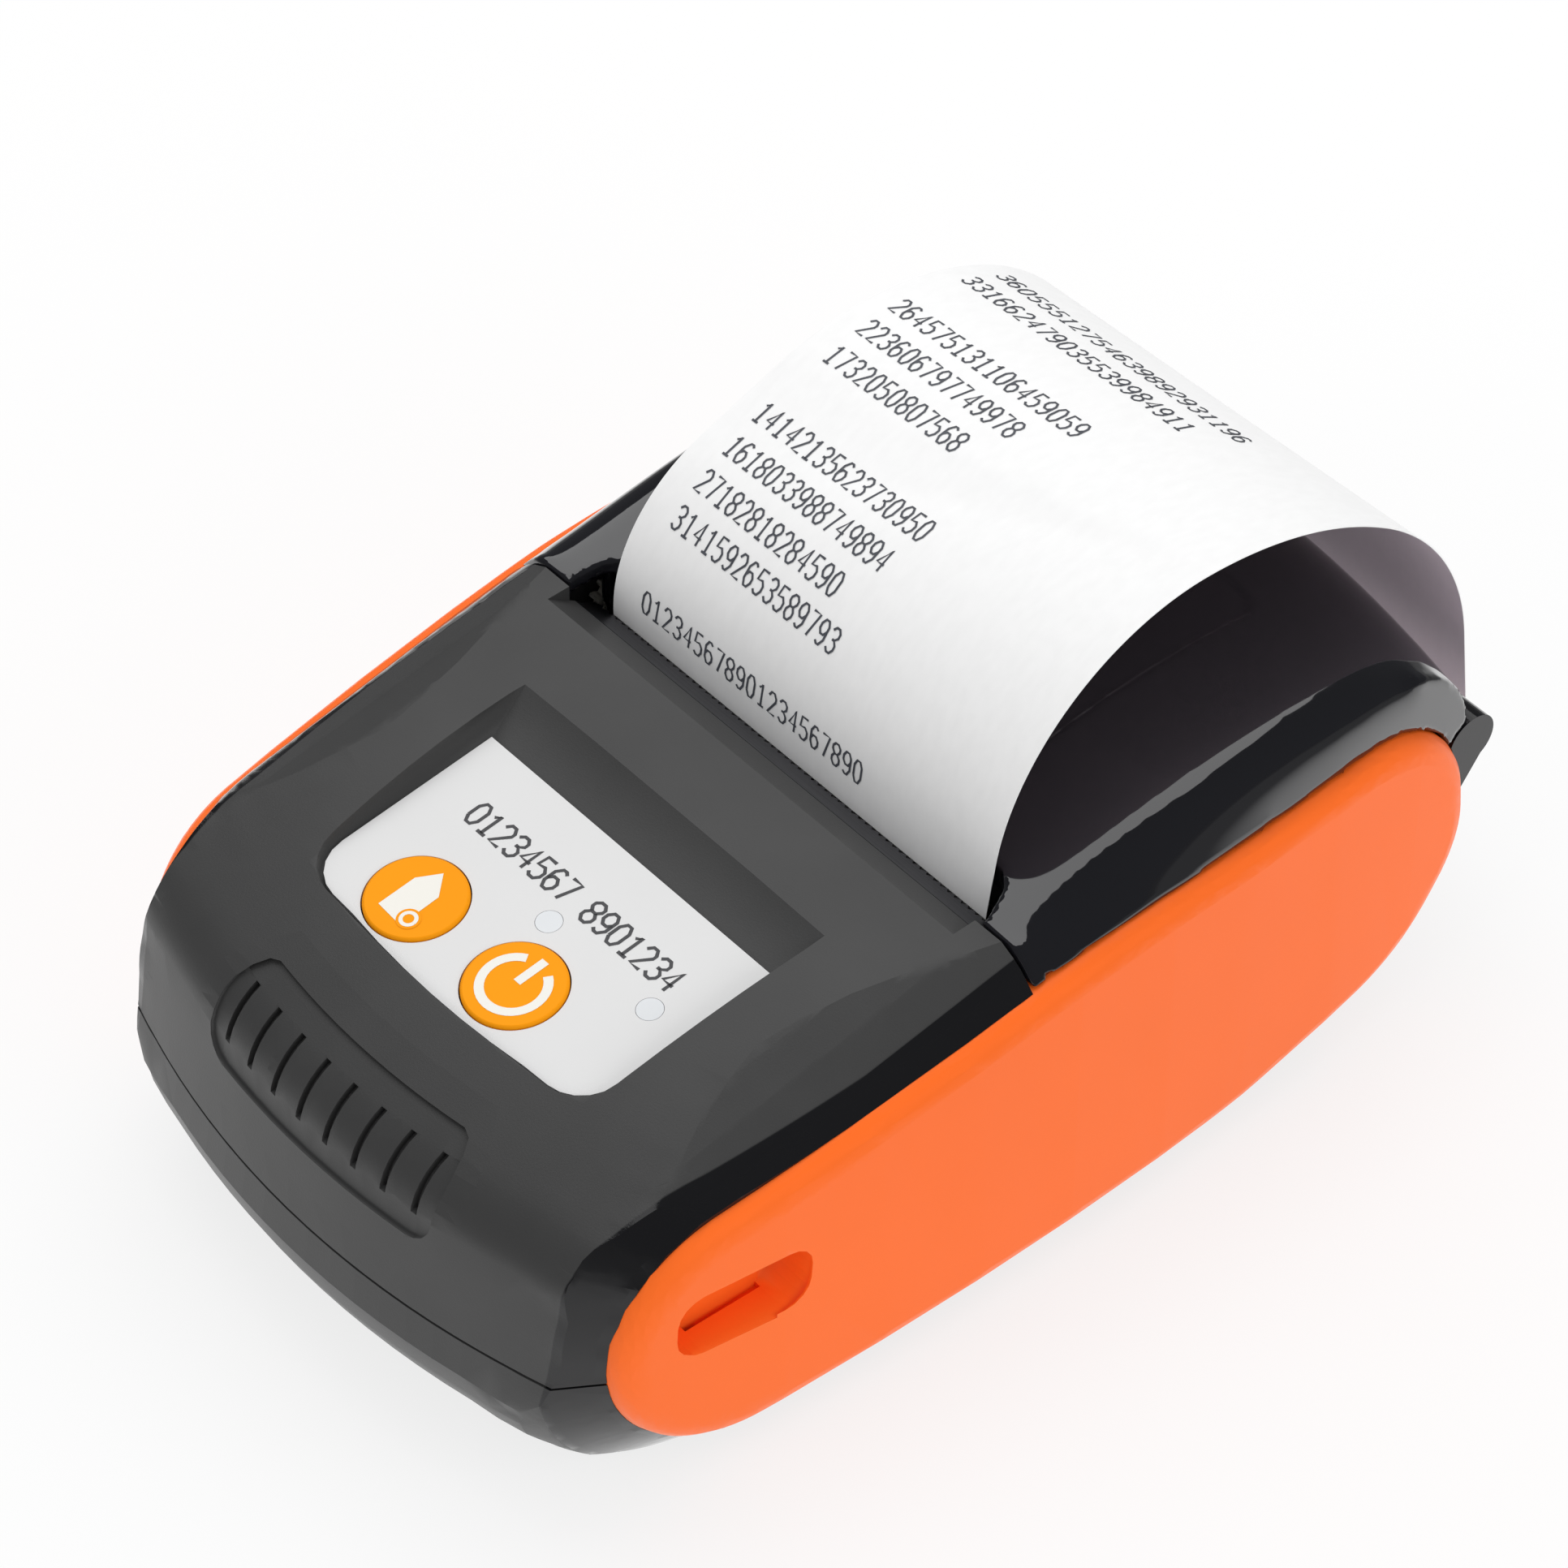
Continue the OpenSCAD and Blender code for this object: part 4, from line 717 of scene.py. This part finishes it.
class Loop:
    """The receipt's middle surface, by the distance from the tear edge and by X. Its two edges and
    every column between them end together."""

    def __init__(self):
        right = loop_edge(LOOP_RIGHT, RIGHT_R, 1.0, RIGHT_END)
        left = loop_edge(LOOP_LEFT, LEFT_R, LEFT_SHARE, LEFT_END)
        self.columns = []
        for k in range(COLUMNS + 1):
            t = k / COLUMNS
            path = [(l[0] + (r[0] - l[0]) * t, l[1] + (r[1] - l[1]) * t) for l, r in zip(left, right)]
            marks = [0.0]
            for p, q in zip(path, path[1:]):
                marks.append(marks[-1] + math.hypot(q[0] - p[0], q[1] - p[1]))
            self.columns.append((path, marks))
        self.length = sum(marks[-1] for _, marks in self.columns) / len(self.columns)

    def on_column(self, k, s):
        path, marks = self.columns[k]
        s *= marks[-1] / self.length
        i = 1
        while i < len(marks) - 1 and marks[i] < s:
            i += 1
        f = (s - marks[i - 1]) / (marks[i] - marks[i - 1])
        y = path[i - 1][0] + (path[i][0] - path[i - 1][0]) * f
        z = path[i - 1][1] + (path[i][1] - path[i - 1][1]) * f
        return Vector(((k / COLUMNS - 0.5) * PAPER_W, y, z))

    def point(self, s, x):
        place = min(max((x / PAPER_W + 0.5) * COLUMNS, 0), COLUMNS - 1e-6)
        k = int(place)
        return self.on_column(k, s).lerp(self.on_column(k + 1, s), place - k)

    def outward(self, s, x):
        along = self.point(s + 0.3, x) - self.point(s - 0.3, x)
        across = self.point(s, min(x + 1, PAPER_W / 2)) - self.point(s, x - 1)
        return across.cross(along).normalized()


def sheet_mesh(name, rows, thickness, outer, inner):
    """A thin sheet through rows of points: one side in the outer material, the other in the inner."""
    count, width = len(rows), len(rows[0])
    normals = []
    for i in range(count):
        along = [rows[min(i + 1, count - 1)][k] - rows[max(i - 1, 0)][k] for k in range(width)]
        across = [rows[i][min(k + 1, width - 1)] - rows[i][max(k - 1, 0)] for k in range(width)]
        normals.append([a.cross(b).normalized() for a, b in zip(across, along)])
    flat = [(i, k) for i in range(count) for k in range(width)]
    points = [(rows[i][k] - normals[i][k] * thickness / 2) * MM for i, k in flat]
    points += [(rows[i][k] + normals[i][k] * thickness / 2) * MM for i, k in flat]
    back = count * width
    faces, kinds = [], []
    for i in range(count - 1):
        for k in range(width - 1):
            a, b, c, d = i * width + k, i * width + k + 1, (i + 1) * width + k + 1, (i + 1) * width + k
            faces += [(a, d, c, b), (a + back, b + back, c + back, d + back)]
            kinds += [1, 0]
    rim = [k for k in range(width)] + [i * width + width - 1 for i in range(1, count)]
    rim += [(count - 1) * width + k for k in range(width - 2, -1, -1)]
    rim += [i * width for i in range(count - 2, 0, -1)]
    for a, b in zip(rim, rim[1:] + rim[:1]):
        faces.append((a, b, b + back, a + back))
        kinds.append(0)
    sheet = mesh_object(name, points, faces, [MATERIALS[outer], MATERIALS[inner]])
    for polygon, kind in zip(sheet.data.polygons, kinds):
        polygon.material_index = kind
        polygon.use_smooth = True
    sheet.data.set_sharp_from_angle(angle=math.radians(50))
    return sheet


def web_path():
    gap = (PLATEN[0] - ROLL[0], PLATEN[1] - ROLL[1])
    contact = math.atan2(gap[1], gap[0]) + math.acos((ROLL_R - PLATEN_R) / math.hypot(*gap))
    leave = (ROLL[0] + ROLL_R * math.cos(contact), ROLL[1] + ROLL_R * math.sin(contact))
    wrap = arc(PLATEN, PLATEN_R + WEB_GAP, contact, math.pi - contact, 12)
    top = (PLATEN[0] - PLATEN_R - WEB_GAP, PLATEN[1] + WEB_RISE)
    path = [leave, *wrap, top, (TEAR[0] + LOOP_RIGHT[0][0], TEAR[1])]
    fine = [path[0]]
    for p, q in zip(path, path[1:]):
        steps = max(1, round(math.hypot(q[0] - p[0], q[1] - p[1]) / WEB_STEP))
        fine += [(p[0] + (q[0] - p[0]) * i / steps, p[1] + (q[1] - p[1]) * i / steps)
                 for i in range(1, steps + 1)]
    return fine, leave, wrap[0]


def add_receipt(loop):
    count = int(loop.length / ROW_STEP)
    rows = [[loop.on_column(k, loop.length * i / count) for k in range(COLUMNS + 1)]
            for i in range(count + 1)]
    receipt = sheet_mesh("receipt_sheet", rows, SHEET_T, "paper", "paper_back_painted_shade")
    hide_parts("receipt")
    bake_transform(receipt)


def add_web():
    path, leave, reach = web_path()
    xs = [(k / COLUMNS - 0.5) * PAPER_W for k in range(0, COLUMNS + 1, 2)]
    rows = [[Vector((x, *p)) for x in xs] for p in path]
    web = sheet_mesh("paper_web", rows, SHEET_T, "paper", "paper")
    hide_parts("paper_feed")
    mm(0, *leave)
    mm(0, *reach)
    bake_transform(web)
    length = sum(math.hypot(q[0] - p[0], q[1] - p[1]) for p, q in zip(path, path[1:]))


# Digits as strokes on a grid 2 wide and 4 high.
DIGITS = [
    [[(0, 1), (0, 3), (0.6, 4), (1.4, 4), (2, 3), (2, 1), (1.4, 0), (0.6, 0), (0, 1)]],
    [[(0.3, 3.2), (1.1, 4), (1.1, 0)], [(0.3, 0), (1.9, 0)]],
    [[(0, 3.2), (0.6, 4), (1.4, 4), (2, 3.2), (2, 2.6), (0, 0), (2, 0)]],
    [[(0, 3.4), (0.6, 4), (1.4, 4), (2, 3.4), (2, 2.7), (1.3, 2.1), (2, 1.4), (2, 0.7), (1.4, 0),
      (0.6, 0), (0, 0.6)], [(0.7, 2.1), (1.3, 2.1)]],
    [[(1.5, 0), (1.5, 4), (0, 1.3), (2, 1.3)]],
    [[(1.9, 4), (0.2, 4), (0, 2.2), (1.3, 2.4), (2, 1.7), (2, 0.8), (1.4, 0), (0.5, 0), (0, 0.5)]],
    [[(1.8, 3.6), (1.3, 4), (0.7, 4), (0, 3), (0, 1), (0.6, 0), (1.4, 0), (2, 0.8), (2, 1.6),
      (1.4, 2.3), (0.6, 2.3), (0, 1.6)]],
    [[(0, 4), (2, 4), (0.8, 0)]],
    [[(0.6, 2.1), (0, 2.8), (0, 3.4), (0.6, 4), (1.4, 4), (2, 3.4), (2, 2.8), (1.4, 2.1), (0.6, 2.1),
      (0, 1.4), (0, 0.7), (0.6, 0), (1.4, 0), (2, 0.7), (2, 1.4), (1.4, 2.1)]],
    [[(2, 2.4), (1.4, 1.7), (0.6, 1.7), (0, 2.4), (0, 3.2), (0.6, 4), (1.4, 4), (2, 3.2), (2, 1),
      (1.3, 0), (0.7, 0), (0.2, 0.4)]],
]
GLYPH_W = 1.05
GLYPH_H = 2.7
PITCH = 1.63
STROKE = 0.28
PRINT_LIFT = 0.06

# Rows on the receipt, fitted to the photograph: distance of the baseline from the tear edge, X of the
# first digit, digits.
PRINT_ROWS = [
    (3.6, -24.4, "012345678901234567890"),
    (14.2, -24.6, "3141592653589793"),
    (18.9, -24.8, "27182818284590"),
    (23.8, -25.2, "1618033988749894"),
    (28.7, -25.8, "14142135623730950"),
    (38.7, -25.3, "1732050807568"),
    (43.8, -25.7, "223606797749978"),
    (48.8, -26.1, "264575131106459059"),
    (59.6, -26.2, "331662479035539984911"),
    (65.2, -26.2, "36055512754639892931196"),
]


def stroke_quads(path, width):
    """Left and right edges of a ribbon along a path in the plane."""
    left, right = [], []
    last = len(path) - 1
    for i, p in enumerate(path):
        a, b = path[max(i - 1, 0)], path[min(i + 1, last)]
        u = unit((b[0] - a[0], b[1] - a[1]))
        left.append((p[0] - u[1] * width / 2, p[1] + u[0] * width / 2))
        right.append((p[0] + u[1] * width / 2, p[1] - u[0] * width / 2))
    return left, right


def ribbons(strokes, width, place):
    """Points and faces of ribbons, put into space by place(x, y)."""
    points, faces = [], []
    for path in strokes:
        left, right = stroke_quads(path, width)
        base = len(points)
        points += [place(*p) for pair in zip(left, right) for p in pair]
        faces += [(base + 2 * i, base + 2 * i + 1, base + 2 * i + 3, base + 2 * i + 2)
                  for i in range(len(path) - 1)]
    return points, faces


def digit_strokes(text, x, y, width, height, pitch):
    strokes = []
    for i, sign in enumerate(text):
        if sign == " ":
            continue
        for path in DIGITS[int(sign)]:
            strokes.append([(x + i * pitch + p[0] * width / 2, y + p[1] * height / 4) for p in path])
    return strokes


def add_print(loop):
    strokes = []
    for s, x, text in PRINT_ROWS:
        strokes += digit_strokes(text, x, s, GLYPH_W, GLYPH_H, PITCH)

    def place(x, s):
        return (loop.point(s, x) + loop.outward(s, x) * (SHEET_T / 2 + PRINT_LIFT)) * MM

    points, faces = ribbons(strokes, STROKE, place)
    ink = mesh_object("receipt_print", points, faces, [MATERIALS["ink"]])
    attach(ink, "lid")


# Marks on the label and the keys, drawn round each place in the label's own plane.
MARK_LIFT = 0.03
LABEL_TEXT = "01234567 8901234"
TEXT_PLACE = (-15.3, -31.8)
TEXT_W = 1.45
TEXT_H = 2.9
TEXT_PITCH = 2.0
TEXT_STROKE = 0.4
SIGN_STROKE = 1.0


def on_label(x, y, height):
    """A point of the sloping label: X, distance along the slope as Y, and height above its floor."""
    along = y - LABEL_Y1
    floor = LABEL_Z1 - LABEL_TOP
    return mm(x, LABEL_Y1 + along * math.cos(LABEL_SLOPE) - height * math.sin(LABEL_SLOPE),
              floor + along * math.sin(LABEL_SLOPE) + height * math.cos(LABEL_SLOPE))


def finish_mark(name, points, faces, material, body):
    mark = mesh_object(name, points, faces, [MATERIALS[material]])
    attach(mark, body)


def add_lines(name, strokes, width, height, material, body):
    points, faces = ribbons(strokes, width, lambda x, y: on_label(x, y, height))
    finish_mark(name, points, faces, material, body)


def add_plate(name, outline, height, material, body):
    points = [on_label(x, y, height) for x, y in outline]
    finish_mark(name, points, [tuple(range(len(points)))], material, body)


def circle_path(x, y, radius, start=0, turn=360, steps=32):
    return arc((x, y), radius, math.radians(start), math.radians(turn), steps)


def add_label_digits():
    strokes = digit_strokes(LABEL_TEXT, *TEXT_PLACE, TEXT_W, TEXT_H, TEXT_PITCH)
    add_lines("label_digits", strokes, TEXT_STROKE, LABEL_TOP + MARK_LIFT, "mark", "housing")


def add_power_sign():
    x, y = KEY_XS[1], KEY_Y
    power = [circle_path(x, y - 0.1, 3.45, 118, 304), [(x, y + 0.3), (x, y + 4.0)]]
    add_lines("power_sign", power, SIGN_STROKE, KEY_TOP + MARK_LIFT, "symbol", "power_key")


def add_feed_sign():
    """A sheet of paper with a roll at its corner, in three layers that lie on each other."""
    x, y = KEY_XS[0], KEY_Y
    page = [(x - 2.0, y - 3.2), (x + 1.75, y - 3.4), (x + 1.65, y + 1.6), (x - 0.4, y + 3.9),
            (x - 2.0, y + 1.5)]
    roll = (x + 1.7, y - 2.3)
    gap = circle_path(*roll, 1.3)[:-1]
    ring = [circle_path(*roll, 0.8)]
    first, second, third = KEY_TOP + MARK_LIFT, KEY_TOP + MARK_LIFT + 0.02, KEY_TOP + MARK_LIFT + 0.04
    add_plate("feed_sign", page, first, "symbol", "feed_key")
    add_plate("feed_sign_gap", gap, second, "key", "feed_key")
    add_lines("feed_sign_roll", ring, 0.42, third, "symbol", "feed_key")


add_camera()
add_light()
add_floor()
paint_nodes()
add_shells()
add_port_cover()
receipt_loop = Loop()
add_receipt(receipt_loop)
add_web()
add_print(receipt_loop)
add_label_digits()
add_power_sign()
add_feed_sign()
